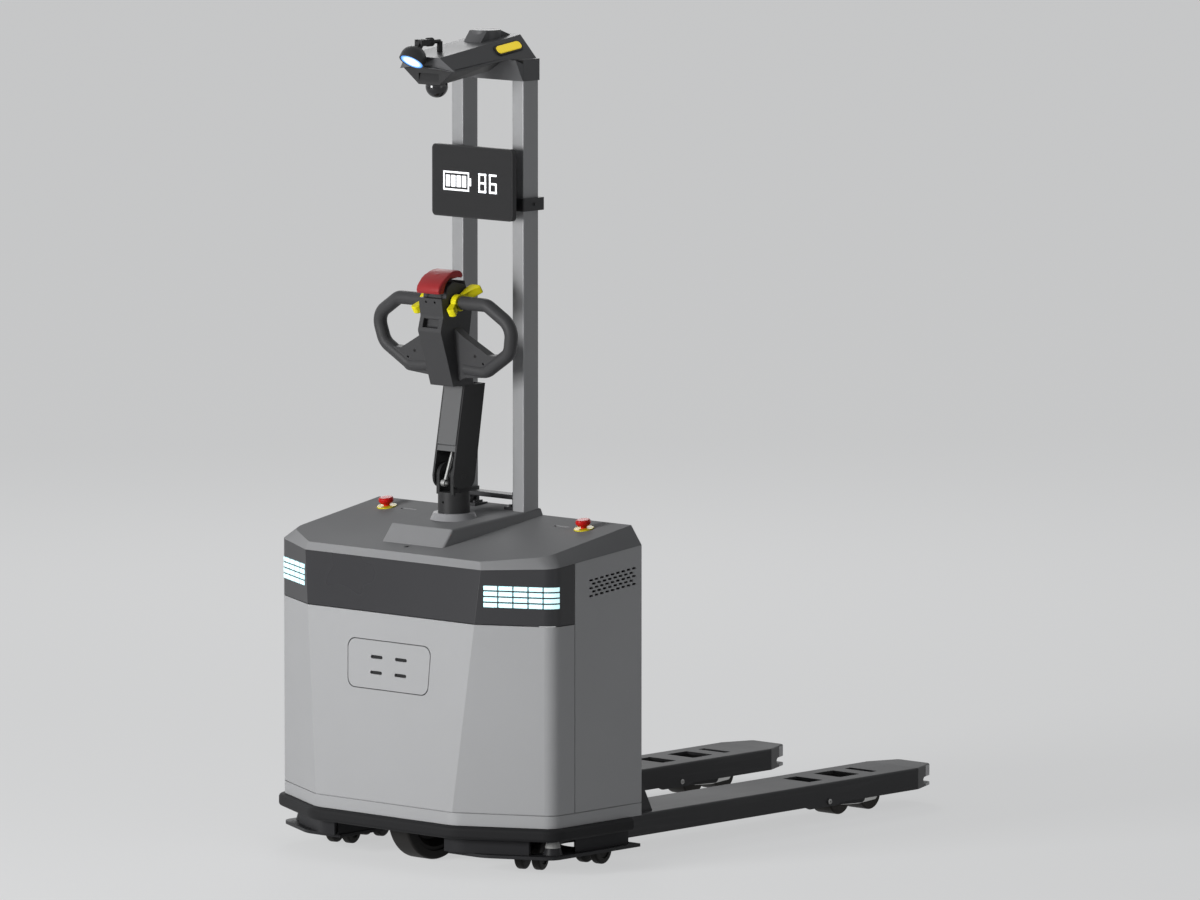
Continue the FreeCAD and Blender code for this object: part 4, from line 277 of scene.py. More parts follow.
def coated(name, colour, roughness=0.5, metallic=0.0, ripple=700.0, depth=0.15, radius=0.0015,
           rub=0.10, light=1.6, spread=0.08, shine=0.5):
    """Painted or moulded finish: grain, slow tone drift and edges that catch the light."""
    material, tree, shader = surface(name, roughness, metallic, shine)
    grain = place_group(tree, coat, Ripple=ripple, Drift=panel_drift)
    broken = place_group(tree, edge, Radius=radius)
    shaded = tuple(part * drift_shade for part in colour)
    bared = tuple(min(part * light + 0.01, 1.0) for part in colour)
    drifted = tinted(tree, colour, grain.outputs["Tone"], shaded)
    worn = tinted(tree, drifted, broken.outputs["Rub"], bared, rub)
    wire(tree, worn, shader.inputs["Base Color"])
    rough = tree.nodes.new("ShaderNodeMapRange")
    rough.inputs["To Min"].default_value = roughness - spread
    rough.inputs["To Max"].default_value = roughness + spread
    wire(tree, grain.outputs["Tone"], rough.inputs["Value"])
    wire(tree, rough.outputs["Result"], shader.inputs["Roughness"])
    bump = tree.nodes.new("ShaderNodeBump")
    bump.inputs["Strength"].default_value = depth
    bump.inputs["Distance"].default_value = grain_height
    wire(tree, grain.outputs["Height"], bump.inputs["Height"])
    wire(tree, broken.outputs["Normal"], bump.inputs["Normal"])
    wire(tree, bump.outputs["Normal"], shader.inputs["Normal"])
    return material, tree, shader, worn


def dress(material, *names):
    """Give a finish to CAD nodes."""
    for name in names:
        mesh = nodes[name].data
        if mesh.materials:
            for place in range(len(mesh.materials)):
                mesh.materials[place] = material
        else:
            mesh.materials.append(material)


cover_grey = (0.41, 0.413, 0.42)
covers_coat = coated("covers_powder_coat", cover_grey, 0.45, 0.05, shine=0.4)[0]
dress(covers_coat, "front_cover", "side_panel_left", "side_panel_right", "back_panel", "charge_plate",
      "skirt")

# ---- Top cover and console ----
# A pressed steel lid with two hand slots, and a raised console in its middle, their grey set darker than the
# body covers'. The lid sits on the body's edge, and the console is set into it.
lid_coat = coated("lid_powder_coat", (0.30, 0.302, 0.308), 0.72, 0.0, depth=0.2, shine=0.06)[0]
dress(lid_coat, "top_cover", "console")

# ---- Light band and lamps ----
# A smoked gloss plastic band wraps the shoulder of the body. Each facet holds a block of twenty
# small clear lenses, pressed in from behind and lit in a pale cyan. One dark lens sits in the middle.
band_coat = coated("band_smoked_gloss", (0.030, 0.030, 0.033), 0.3, ripple=300.0, depth=0.03, rub=0.05,
                   shine=0.35)[0]
dress(band_coat, "light_band")

# zone: a box in the truck's own axes, 1 inside and 0 outside; 9 m reaches past the whole truck
zone, zone_in, zone_out = new_group("zone", (("X", 0.0), ("Y", 0.0), ("Z", 0.0),
                                             ("Wide", 9.0), ("Deep", 9.0), ("Tall", 9.0)),
                                    (("Mask", "Float"),))
zone_place = zone.nodes.new("ShaderNodeTexCoord")
zone_axes = zone.nodes.new("ShaderNodeSeparateXYZ")
wire(zone, zone_place.outputs["Object"], zone_axes.inputs[0])
zone_mask = 1.0
for axis, reach in (("X", "Wide"), ("Y", "Deep"), ("Z", "Tall")):
    off_middle = sum_node(zone, "SUBTRACT", zone_axes.outputs[axis], zone_in.outputs[axis])
    near = sum_node(zone, "LESS_THAN", sum_node(zone, "ABSOLUTE", off_middle, 0.0), zone_in.outputs[reach])
    zone_mask = sum_node(zone, "MULTIPLY", near, zone_mask)
wire(zone, zone_mask, zone_out.inputs["Mask"])

led_glass, tree, shader = surface("led_lens", 0.35)
led_place = tree.nodes.new("ShaderNodeTexCoord")
led_noise = tree.nodes.new("ShaderNodeTexNoise")
led_noise.inputs["Scale"].default_value = 60.0
led_rim_radius, dark_lens_half, led_strength = 0.0016, 0.05, 0.9
wire(tree, led_place.outputs["Object"], led_noise.inputs["Vector"])
led_colour = tinted(tree, (0.50, 0.93, 1.0), led_noise.outputs["Fac"], (0.72, 0.97, 1.0))
led_rim = place_group(tree, edge, Radius=led_rim_radius).outputs["Rub"]
led_colour = tinted(tree, led_colour, led_rim, (0.02, 0.03, 0.035))
dark_lens = place_group(tree, zone, Wide=dark_lens_half).outputs["Mask"]
led_colour = tinted(tree, led_colour, dark_lens, (0.01, 0.01, 0.011))
wire(tree, led_colour, shader.inputs["Base Color"])
wire(tree, led_colour, shader.inputs["Emission Color"])
shader.inputs["Emission Strength"].default_value = led_strength
dress(led_glass, "led_lamps")

# ---- Bumper ----
# A soft black rubber strip round the front and both sides, with a fine leathery grain. It is moulded
# in one piece with the web that holds it under the skirt.
rubber = coated("bumper_rubber", (0.018, 0.018, 0.019), 0.62, ripple=900.0, depth=0.35, radius=0.002,
                rub=0.25, light=2.0, shine=0.12)[0]
dress(rubber, "bumper")

# ---- Charging contacts ----
# Four spring contacts in a black moulded carrier, which is screwed behind the four slots of the
# charging plate.
carrier = coated("contact_carrier", (0.015, 0.015, 0.016), 0.5, rub=0.05, shine=0.2)[0]
dress(carrier, "charge_contacts")

# ---- Button rings and tiller collar ----
# Yellow glossy rings under the emergency stops, and one grey collar round the tiller column. All
# are moulded in plastic and pressed into the lid.
ring_coat, tree, shader, ring_colour = coated("ring_plastic", (0.80, 0.68, 0.02), 0.35, radius=0.0008,
                                              rub=0.1, shine=0.25)
collar_zone_half = 0.15
near_middle = place_group(tree, zone, Wide=collar_zone_half).outputs["Mask"]
wire(tree, tinted(tree, ring_colour, near_middle, (0.30, 0.30, 0.31)), shader.inputs["Base Color"])
dress(ring_coat, "cover_rings")

# ---- Emergency stops ----
# Moulded red mushroom buttons with a soft gloss. Their stems slide in the rings' barrels and screw
# to the switches under the lid.
red_gloss = coated("button_red_gloss", (0.62, 0.012, 0.010), 0.34, ripple=400.0, depth=0.04,
                   radius=0.0012, rub=0.1, shine=0.15)[0]
dress(red_gloss, "estop_button_left", "estop_button_right")

# ---- Mast ----
# Two extruded sections, satin anodised, stand on the frame. Their faces keep the fine lines of the
# die. Black screwed clamps and brackets tie them together.

# drawn lines: fine lines that run along one axis, as on drawn bar or where something slides
drawn, drawn_in, drawn_out = new_group("drawn_lines", (("X", 400.0), ("Y", 400.0), ("Z", 400.0)),
                                       (("Lines", "Float"),))
drawn_place = drawn.nodes.new("ShaderNodeTexCoord")
drawn_scale = drawn.nodes.new("ShaderNodeVectorMath")
drawn_scale.operation = "MULTIPLY"
drawn_axes = drawn.nodes.new("ShaderNodeCombineXYZ")
drawn_noise = drawn.nodes.new("ShaderNodeTexNoise")
drawn_noise.inputs["Scale"].default_value = 1.0
drawn_noise.inputs["Detail"].default_value = 3.0
for axis in "XYZ":
    wire(drawn, drawn_in.outputs[axis], drawn_axes.inputs[axis])
wire(drawn, drawn_place.outputs["Object"], drawn_scale.inputs[0])
wire(drawn, drawn_axes.outputs[0], drawn_scale.inputs[1])
wire(drawn, drawn_scale.outputs[0], drawn_noise.inputs["Vector"])
wire(drawn, drawn_noise.outputs["Fac"], drawn_out.inputs["Lines"])

mast_coat, tree, shader, mast_colour = coated("mast_anodised", (0.38, 0.383, 0.39), 0.36, 0.12, ripple=1500.0,
                                              depth=0.10, radius=0.002, rub=0.1, shine=0.4)
mast_lines = place_group(tree, drawn, X=420.0, Y=420.0, Z=1.4).outputs["Lines"]
wire(tree, tinted(tree, mast_colour, mast_lines, (0.27, 0.272, 0.278), 0.5), shader.inputs["Base Color"])
dress(mast_coat, "mast_posts")
black_hardware = coated("black_hardware", (0.035, 0.035, 0.037), 0.45, 0.2, ripple=900.0, rub=0.3,
                        light=2.5, shine=0.3)[0]
dress(black_hardware, "mast_hardware")

# ---- Screen ----
# A black display in a moulded case. Its glass shows a plain status picture: the charge of the
# battery in bars and in per cent, as thin lit shapes on its surface.
black_case = coated("black_case_plastic", (0.022, 0.022, 0.023), 0.5, ripple=1200.0, depth=0.25,
                    rub=0.1, shine=0.25)[0]
dress(black_case, "screen_case")
glass_black = coated("display_glass", (0.030, 0.030, 0.031), 0.2, depth=0.0, radius=0.0006, rub=0.0,
                     spread=0.02, shine=0.22)[0]
dress(glass_black, "screen_glass")
status_light, tree, shader = surface("status_light", 0.4)
status_mist = place_group(tree, coat, Ripple=500.0, Drift=40.0).outputs["Tone"]
status_colour = tinted(tree, (0.86, 0.88, 0.90), status_mist, (0.95, 0.97, 1.0))
wire(tree, status_colour, shader.inputs["Base Color"])
wire(tree, status_colour, shader.inputs["Emission Color"])
status_strength = 0.75
shader.inputs["Emission Strength"].default_value = status_strength
glass_low, glass_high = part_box("screen_glass")
glass_middle_z = (glass_low.z + glass_high.z) / 2
picture_lift, picture_thickness = 0.0002, 0.0006
picture_y = glass_low.y - picture_lift


def prism(shape, front, back):
    """Closed body between two outlines that have as many points."""
    rows = [[shape.verts.new(point) for point in outline] for outline in (front, back)]
    shape.faces.new(rows[0])
    shape.faces.new(list(reversed(rows[1])))
    for i in range(len(front)):
        j = (i + 1) % len(front)
        shape.faces.new((rows[0][j], rows[0][i], rows[1][i], rows[1][j]))


def lit_bar(shape, x0, x1, z0, z1, slant=0.0):
    """Thin lit plate on the glass, its short ends cut at a slant."""
    marks = ((x0, z0 + slant), (x0 + slant, z0), (x1 - slant, z0), (x1, z0 + slant), (x1, z1 - slant),
             (x1 - slant, z1), (x0 + slant, z1), (x0, z1 - slant))
    prism(shape, *[[(x, picture_y + deep, glass_middle_z + z) for x, z in marks]
                   for deep in (0.0, picture_thickness)])


def piece(name, shape, body, *finishes):
    """Turn a built shape into an object that rides on a body."""
    bmesh.ops.recalc_face_normals(shape, faces=shape.faces)
    mesh = bpy.data.meshes.new(name)
    shape.to_mesh(mesh)
    shape.free()
    for finish in finishes:
        mesh.materials.append(finish)
    made = bpy.data.objects.new(name, mesh)
    bpy.context.collection.objects.link(made)
    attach(made, body)
    return made


# battery gauge: a frame, a pole at its right end and four full bars
status = bmesh.new()
gauge_left, gauge_right, gauge_low, gauge_high, line = -0.098, -0.010, -0.024, 0.024, 0.0045
lit_bar(status, gauge_left, gauge_right, gauge_high - line, gauge_high)
lit_bar(status, gauge_left, gauge_right, gauge_low, gauge_low + line)
lit_bar(status, gauge_left, gauge_left + line, gauge_low + line, gauge_high - line)
lit_bar(status, gauge_right - line, gauge_right, gauge_low + line, gauge_high - line)
pole_start, pole_end, pole_half, bar_slant = 0.001, 0.007, 0.010, 0.001
lit_bar(status, gauge_right + pole_start, gauge_right + pole_end, -pole_half, pole_half, bar_slant)
bar_count, bar_start, bar_pitch, bar_wide, bar_inset = 4, 0.009, 0.0182, 0.0145, 0.0095
for i in range(bar_count):
    bar_x = gauge_left + bar_start + i * bar_pitch
    lit_bar(status, bar_x, bar_x + bar_wide, gauge_low + bar_inset, gauge_high - bar_inset, bar_slant)
# seven strokes of a digit: top, upper right, lower right, bottom, lower left, upper left, middle
stroke, stroke_gap, stroke_slant, digit_wide, digit_half = 0.0052, 0.001, 0.0012, 0.026, 0.024
strokes = ((0, digit_wide, digit_half - stroke, digit_half),
           (digit_wide - stroke, digit_wide, stroke_gap, digit_half),
           (digit_wide - stroke, digit_wide, -digit_half, -stroke_gap),
           (0, digit_wide, -digit_half, stroke - digit_half),
           (0, stroke, -digit_half, -stroke_gap),
           (0, stroke, stroke_gap, digit_half),
           (0, digit_wide, -stroke / 2, stroke / 2))
for left, shown in ((0.022, (0, 1, 2, 3, 4, 5, 6)), (0.058, (0, 2, 3, 4, 5, 6))):
    for k in shown:
        x0, x1, z0, z1 = strokes[k]
        lit_bar(status, left + x0, left + x1, z0, z1, stroke_slant)
piece("status_picture", status, "chassis", status_light)

# ---- Sensor head ----
# A painted cast cap on both posts, with a low round scanner housing on its top. Black moulded trims,
# two ribbed amber lamps in its shoulders and a smoked camera dome under it are screwed to it.
head_coat = coated("head_coat", (0.125, 0.126, 0.130), 0.45, 0.1, ripple=900.0, depth=0.2, shine=0.2)[0]
dress(head_coat, "head_shell")
dress(black_case, "head_trim")
dome_gloss = coated("dome_smoked", (0.010, 0.010, 0.012), 0.12, depth=0.0, rub=0.0,
                    spread=0.02)[0]
dress(dome_gloss, "dome_camera")
rib_scale, rib_share, amber_rim_radius, amber_rim_share, amber_strength = 42.0, 0.45, 0.002, 0.8, 0.62
amber, tree, shader = surface("amber_lens", 0.35, shine=0.2)
amber_tone = place_group(tree, coat, Ripple=90.0, Drift=30.0).outputs["Tone"]
amber_colour = tinted(tree, (1.0, 0.74, 0.03), amber_tone, (1.0, 0.84, 0.10))
amber_ribs = tree.nodes.new("ShaderNodeTexWave")
amber_ribs.bands_direction = "Y"
amber_ribs.inputs["Scale"].default_value = rib_scale
amber_place = tree.nodes.new("ShaderNodeTexCoord")
wire(tree, amber_place.outputs["Object"], amber_ribs.inputs["Vector"])
amber_colour = tinted(tree, amber_colour, amber_ribs.outputs["Fac"], (0.72, 0.44, 0.01), rib_share)
amber_rim = place_group(tree, edge, Radius=amber_rim_radius).outputs["Rub"]
amber_colour = tinted(tree, amber_colour, amber_rim, (0.16, 0.10, 0.01), amber_rim_share)
wire(tree, amber_colour, shader.inputs["Base Color"])
wire(tree, amber_colour, shader.inputs["Emission Color"])
shader.inputs["Emission Strength"].default_value = amber_strength
dress(amber, "side_lamps")

# ---- Spotlight ----
# A black turned aluminium cup, pinned by a rear lug to the forked stalk on the head. It throws a
# blue spot on the floor through a moulded lens with fine rings.
spot_coat = coated("spotlight_black", (0.03, 0.03, 0.031), 0.42, 0.2, ripple=900.0, rub=0.3, light=2.5,
                   shine=0.3)[0]
dress(spot_coat, "spotlight")
joints = {joint["name"]: joint for joint in frame["record"]["behaviour"]["joints"]}
spot_tilt, lens_seat = math.radians(35.0), 0.0542
spot_way = Vector((0.0, -math.sin(spot_tilt), -math.cos(spot_tilt)))
lens_place = Vector(joints["spotlight_tilt"]["pos_m"]) + spot_way * lens_seat
lens_glow, tree, shader = surface("spotlight_lens", 0.25)
lens_spot = tree.nodes.new("ShaderNodeTexCoord")
lens_reach = tree.nodes.new("ShaderNodeVectorMath")
lens_reach.operation = "DISTANCE"
lens_reach.inputs[1].default_value = lens_place
wire(tree, lens_spot.outputs["Object"], lens_reach.inputs[0])
white_radius, blue_radius = 0.014, 0.027
lens_ring = tree.nodes.new("ShaderNodeMapRange")
lens_ring.inputs["From Min"].default_value = white_radius
lens_ring.inputs["From Max"].default_value = blue_radius
wire(tree, lens_reach.outputs["Value"], lens_ring.inputs["Value"])
lens_colour = tinted(tree, (0.86, 0.96, 1.0), lens_ring.outputs["Result"], (0.05, 0.26, 0.85))
wire(tree, lens_colour, shader.inputs["Base Color"])
wire(tree, lens_colour, shader.inputs["Emission Color"])
shader.inputs["Emission Strength"].default_value = 1.0


def turned(shape, rows, place, direction, sides=24, hollow=False):
    """Add a turned body; rows are (radius, height, hexagonal). A hollow one is a closed ring."""
    way = Vector(direction).normalized()
    across = way.orthogonal().normalized()
    beside = way.cross(across)
    half_flat = math.pi / 6
    rings = []
    for radius, height, hexagonal in rows:
        ring = []
        for i in range(sides):
            turn = 2 * math.pi * i / sides
            reach = radius
            if hexagonal:
                reach *= math.cos(half_flat) / math.cos((turn + half_flat) % (2 * half_flat) - half_flat)
            outwards = across * math.cos(turn) + beside * math.sin(turn)
            ring.append(shape.verts.new(Vector(place) + way * height + outwards * reach))
        rings.append(ring)
    for low, high in zip(rings, rings[1:] + rings[:1] if hollow else rings[1:]):
        for i in range(sides):
            j = (i + 1) % sides
            shape.faces.new((low[i], low[j], high[j], high[i]))
    if not hollow:
        shape.faces.new(list(reversed(rings[0])))
        shape.faces.new(rings[-1])


lens = bmesh.new()
lens_radius, lens_rim, lens_eye, lens_sides = 0.0292, 0.0004, 0.002, 48
ridge_count, ridge_pitch, ridge_radius, ridge_height = 6, 0.0042, 0.0285, 0.0014
valley_radius, valley_height = 0.0252, 0.0009
lens_rows = [(lens_radius, 0.0, False), (lens_radius, lens_rim, False)]
for step in range(ridge_count):
    lens_rows.append((ridge_radius - step * ridge_pitch, ridge_height, False))
    lens_rows.append((valley_radius - step * ridge_pitch, valley_height, False))
lens_rows.append((lens_eye, ridge_height, False))
turned(lens, lens_rows, lens_place, spot_way, lens_sides)
piece("spotlight_lens", lens, "spotlight", lens_glow)

# ---- Tiller ----
# A black painted steel column that turns in the lid's collar, and a hollow welded stem pinned
# between its ears. The stem carries a paler screwed plate on its front.
tiller_paint = coated("tiller_paint", (0.030, 0.030, 0.031), 0.5, 0.1, ripple=800.0, rub=0.2, light=2.5,
                      shine=0.2)[0]
dress(tiller_paint, "tiller_column")
stem_paint, tree, shader, stem_colour = coated("stem_paint", (0.030, 0.030, 0.031), 0.5, 0.1, ripple=800.0,
                                               rub=0.2, light=2.5, shine=0.2)
stem_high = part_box("tiller_stem")[1]
plate_facing, plate_drop, plate_half_wide, plate_half_tall = -0.9, 0.1, 0.0305, 0.0985
stem_face = tree.nodes.new("ShaderNodeNewGeometry")
stem_axes = tree.nodes.new("ShaderNodeSeparateXYZ")
wire(tree, stem_face.outputs["Normal"], stem_axes.inputs[0])
plate_faces = sum_node(tree, "LESS_THAN", stem_axes.outputs["Y"], plate_facing)
plate_zone = place_group(tree, zone, Z=stem_high.z - plate_drop, Wide=plate_half_wide,
                         Tall=plate_half_tall).outputs["Mask"]
plate_mask = sum_node(tree, "MULTIPLY", plate_faces, plate_zone)
wire(tree, tinted(tree, stem_colour, plate_mask, (0.125, 0.126, 0.128)), shader.inputs["Base Color"])
dress(stem_paint, "tiller_stem")

# ---- Tiller head ----
# A one-piece black moulding with two hand loops and a grained skin, pushed over the stem's top and
# screwed to it.
tiller_plastic = coated("tiller_moulding", (0.048, 0.048, 0.050), 0.52, ripple=1100.0, depth=0.35,
                        radius=0.003, rub=0.12, shine=0.25)[0]
dress(tiller_plastic, "tiller_head")

# ---- Belly button ----
# A soft red moulded cap that wraps the head's crown. It slides on a plunger in the head, and a push
# against the walker's body drives the truck away.
red_soft = coated("belly_button_red", (0.36, 0.027, 0.030), 0.42, ripple=600.0, depth=0.1, radius=0.002,
                  rub=0.15, shine=0.2)[0]
dress(red_soft, "belly_button")
# outline of the cap seen from the side: way from the body's back plane, and height
cap_outer = ((-0.277, 1.416), (-0.2792, 1.424), (-0.2765, 1.434), (-0.269, 1.4435), (-0.2585, 1.4515),
             (-0.2465, 1.4595), (-0.234, 1.4660), (-0.2205, 1.4702), (-0.207, 1.4716), (-0.197, 1.4692),
             (-0.1905, 1.4635), (-0.189, 1.457))
cap_inner = ((-0.193, 1.4520), (-0.210, 1.4545), (-0.226, 1.4560), (-0.240, 1.4500), (-0.2565, 1.4425),
             (-0.2585, 1.416))
cap_inset, cap_rounding = 0.0005, 0.004
plunger_y, plunger_z, plunger_radius, plunger_length = -0.244, 1.462, 0.008, 0.052
plunger_start, plunger_chamfer, plunger_tip = 0.002, 0.002, 0.007
belly_low, belly_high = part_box("belly_button")
belly_cap = bmesh.new()
prism(belly_cap, *[[(x, body_back_y + y, z) for y, z in cap_outer + cap_inner]
                   for x in (belly_low.x + cap_inset, belly_high.x - cap_inset)])
rims = [rim for rim in belly_cap.edges if abs(rim.verts[0].co.x - rim.verts[1].co.x) < 1e-6]
bmesh.ops.bevel(belly_cap, geom=rims, offset=cap_rounding, segments=4, profile=0.5, affect="EDGES")
plunger_way = Vector(joints["belly_button_press"]["axis"])
turned(belly_cap, ((plunger_radius, plunger_start, False),
                   (plunger_radius, plunger_length - plunger_chamfer, False),
                   (plunger_tip, plunger_length, False)),
       (0.0, body_back_y + plunger_y, plunger_z), plunger_way)
button = piece("belly_button_cap", belly_cap, "belly_button", red_soft)
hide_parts("belly_button")
for face in button.data.polygons:
    face.use_smooth = True

# ---- Thumb throttle ----
# Two yellow moulded hubs turn on spigots at both sides of the head. Each has a long thumb lobe that
# rises to the front and a short one behind, in one piece with it.
yellow = coated("control_yellow", (0.90, 0.80, 0.01), 0.38, ripple=500.0, depth=0.05, radius=0.0015,
                rub=0.1, shine=0.25)[0]
dress(yellow, "throttle")
thumb_pivot = Vector(joints["throttle_turn"]["pos_m"])
hub_place, hub_half, hub_bore, hub_radius, hub_rounding = 0.053, 0.009, 0.0122, 0.021, 0.0015
hub_rows = ((hub_bore, -hub_half, False), (hub_radius - hub_rounding, -hub_half, False),
            (hub_radius, -hub_half + hub_rounding, False), (hub_radius, hub_half - hub_rounding, False),
            (hub_radius - hub_rounding, hub_half, False), (hub_bore, hub_half, False))
lobe_root, lobe_waist, lobe_low, lobe_high, lobe_rounding = 0.014, 0.026, -0.010, 0.011, 0.003
thumb_parts = bmesh.new()
for side in (-1.0, 1.0):
    hub_x = side * hub_place
    turned(thumb_parts, hub_rows, thumb_pivot + Vector((hub_x, 0.0, 0.0)), (1.0, 0.0, 0.0), 36, hollow=True)
    near, far = hub_x - side * hub_half, hub_x + side * hub_half
    for angle, reach, spread in ((33.0, 0.064, 0.026), (212.0, 0.046, 0.012)):
        marks = ((near, lobe_root), (far, lobe_root), (far, lobe_waist),
                 (far + side * spread, reach - 0.006), (far + side * (spread - 0.008), reach),
                 (near + side * 0.010, reach), (near + side * 0.003, reach - 0.008))
        cosine, sine = math.cos(math.radians(angle)), math.sin(math.radians(angle))
        lobe = bmesh.new()
        prism(lobe, *[[(x, y * cosine - z * sine, y * sine + z * cosine) for x, y in marks]
                      for z in (lobe_low, lobe_high)])
        bmesh.ops.bevel(lobe, geom=lobe.edges[:], offset=lobe_rounding, segments=3, profile=0.5,
                        affect="EDGES")
        bmesh.ops.translate(lobe, verts=lobe.verts[:], vec=thumb_pivot)
        made = bpy.data.meshes.new("thumb_lobe")
        lobe.to_mesh(made)
        lobe.free()
        thumb_parts.from_mesh(made)
        bpy.data.meshes.remove(made)
thumb = piece("thumb_throttle", thumb_parts, "throttle", yellow)
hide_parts("throttle")

# ---- Tiller head screws ----
# Four black steel socket screws: two in the brow of the head, and one at the foot of each hand loop,
# sunk flush with the moulding.
screw_black = coated("screw_black", (0.012, 0.012, 0.012), 0.4, 0.5, ripple=1500.0, depth=0.05,
                     radius=0.0004, rub=0.2, light=3.0)[0]


def socket_screw(shape, place, direction, radius, height):
    """Round-headed screw with a hexagon socket, sunk a little into what it holds."""
    turned(shape, ((radius, -height * 0.3, False), (radius, height * 0.5, False),
                   (radius * 0.86, height * 0.86, False), (radius * 0.64, height, False),
                   (radius * 0.46, height, True), (radius * 0.46, height * 0.35, True),
                   (radius * 0.02, height * 0.3, False)), place, direction)


def seat(name, start, direction):
    """Where a straight line from start first meets a node, and which way that surface looks."""
    mesh = nodes[name].data
    skin = BVHTree.FromPolygons([v.co for v in mesh.vertices], [p.vertices for p in mesh.polygons])
    place, normal = skin.ray_cast(Vector(start), Vector(direction).normalized())[:2]
    return place, normal if normal.dot(Vector(direction)) < 0 else -normal


screw_radius, screw_height, before_head = 0.0042, 0.0012, -1.2
head_screws = bmesh.new()
for x, z in ((-0.024, 1.4085), (0.024, 1.4085), (-0.103, 1.262), (0.103, 1.262)):
    place, normal = seat("tiller_head", (x, before_head, z), (0.0, 1.0, 0.0))
    socket_screw(head_screws, place, normal, screw_radius, screw_height)
piece("tiller_head_screws", head_screws, "tiller_handle", screw_black)

# ---- Back panel screws ----
# Black steel socket screws with round heads. Two columns of five hold the flat rear panel to the
# frame's uprights.
panel_low, panel_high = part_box("back_panel")
screws_high, side_margin, end_margin, panel_screw_radius, panel_screw_height = 5, 0.018, 0.03, 0.0055, 0.0028
panel_screws = bmesh.new()
for x in (panel_low.x + side_margin, panel_high.x - side_margin):
    for step in range(screws_high):
        z = panel_low.z + end_margin
        z += step * (panel_high.z - panel_low.z - 2 * end_margin) / (screws_high - 1)
        socket_screw(panel_screws, (x, panel_high.y, z), (0.0, 1.0, 0.0), panel_screw_radius,
                     panel_screw_height)
piece("back_panel_screws", panel_screws, "chassis", screw_black)

# ---- Tilt strut ----
# A gas strut that holds the tiller up: a black painted tube pinned inside the stem, and a bright
# plated rod with an eye at its lower end.
dress(tiller_paint, "strut_cylinder")
zinc, tree, shader, zinc_colour = coated("zinc_plate", (0.50, 0.50, 0.49), 0.32, 0.9, ripple=500.0,
                                         depth=0.06, rub=0.0)
zinc_lines = place_group(tree, drawn, X=900.0, Y=5.0, Z=900.0).outputs["Lines"]
wire(tree, tinted(tree, zinc_colour, zinc_lines, (0.36, 0.36, 0.35), 0.5), shader.inputs["Base Color"])
dress(zinc, "strut_rod")

# ---- Frame and caster plates ----
# A welded steel frame under the covers, powder coated black. Its floor plates are cut out over the
# casters, and each carries its corner on a bright turned spool.
frame_coat = coated("frame_powder_coat", (0.022, 0.022, 0.024), 0.52, 0.0, ripple=600.0, rub=0.25,
                    light=2.2, shine=0.12)[0]
dress(frame_coat, "base_frame")
plate_coat, tree, shader, plate_colour = coated("caster_plate_coat", (0.022, 0.022, 0.024), 0.45, 0.0,
                                                ripple=600.0, rub=0.25, light=2.2, shine=0.15)
spool_x, spool_y, spool_z, spool_half, spool_half_tall = 0.424, -0.28, 0.1, 0.026, 0.03
for side in (-1.0, 1.0):
    spool_mask = place_group(tree, zone, X=side * spool_x, Y=body_back_y + spool_y, Z=spool_z,
                             Wide=spool_half, Deep=spool_half, Tall=spool_half_tall).outputs["Mask"]
    plate_colour = tinted(tree, plate_colour, spool_mask, (0.45, 0.45, 0.44))
wire(tree, plate_colour, shader.inputs["Base Color"])
dress(plate_coat, "caster_plate_left", "caster_plate_right")

# ---- Casters ----
# Black coated swivel heads with one leg each, on kingpins in the frame. A twin polyurethane wheel
# turns in the leg on a steel axle, which a plated nut on either side holds and which turns with it.
dress(frame_coat, *[name for name in nodes if name.startswith("caster_fork")])
tread = coated("polyurethane_tread", (0.022, 0.021, 0.020), 0.55, ripple=400.0, depth=0.3, radius=0.002,
               rub=0.2, shine=0.12)[0]
dress(tread, *[name for name in nodes if name.startswith("caster_wheels")])
nut_steel = coated("nut_zinc", (0.30, 0.30, 0.295), 0.38, 0.7, ripple=900.0, depth=0.08, radius=0.0005,
                   rub=0.1)[0]


def hex_nut(shape, place, direction, radius, height):
    """Hexagon nut with a chamfered top on a thin washer."""
    turned(shape, ((radius * 1.25, -height * 0.2, False), (radius * 1.25, height * 0.18, False),
                   (radius, height * 0.2, True), (radius, height * 0.85, True),
                   (radius * 0.86, height, False), (radius * 0.5, height, False),
                   (radius * 0.48, height * 1.15, False), (radius * 0.02, height * 1.2, False)),
           place, direction)


nut_radius, nut_height, beyond_wheel = 0.0065, 0.003, 0.1
for corner in ("front_left", "front_right", "rear_left", "rear_right"):
    axle = joints["caster_spin_" + corner]
    axle_place, axle_way = Vector(axle["pos_m"]), Vector(axle["axis"]).normalized()
    axle_nuts = bmesh.new()
    for side in (-1.0, 1.0):
        outside = axle_place + axle_way * side * beyond_wheel
        place = seat("caster_wheels_" + corner, outside, axle_way * -side)[0]
        hex_nut(axle_nuts, place, axle_way * side, nut_radius, nut_height)
    piece("axle_nuts_" + corner, axle_nuts, "caster_wheels_" + corner, nut_steel)

# ---- Drive unit ----
# A painted motor and gear casting that hangs in a ring bearing on the frame's bridge. Its wheel has a
# wide polyurethane tyre pressed on a cast hub.
dress(frame_coat, "drive_unit")
tyre = coated("drive_tyre", (0.024, 0.023, 0.022), 0.55, ripple=300.0, depth=0.35, radius=0.002, rub=0.2,
              shine=0.12)[0]
dress(tyre, "drive_wheel")

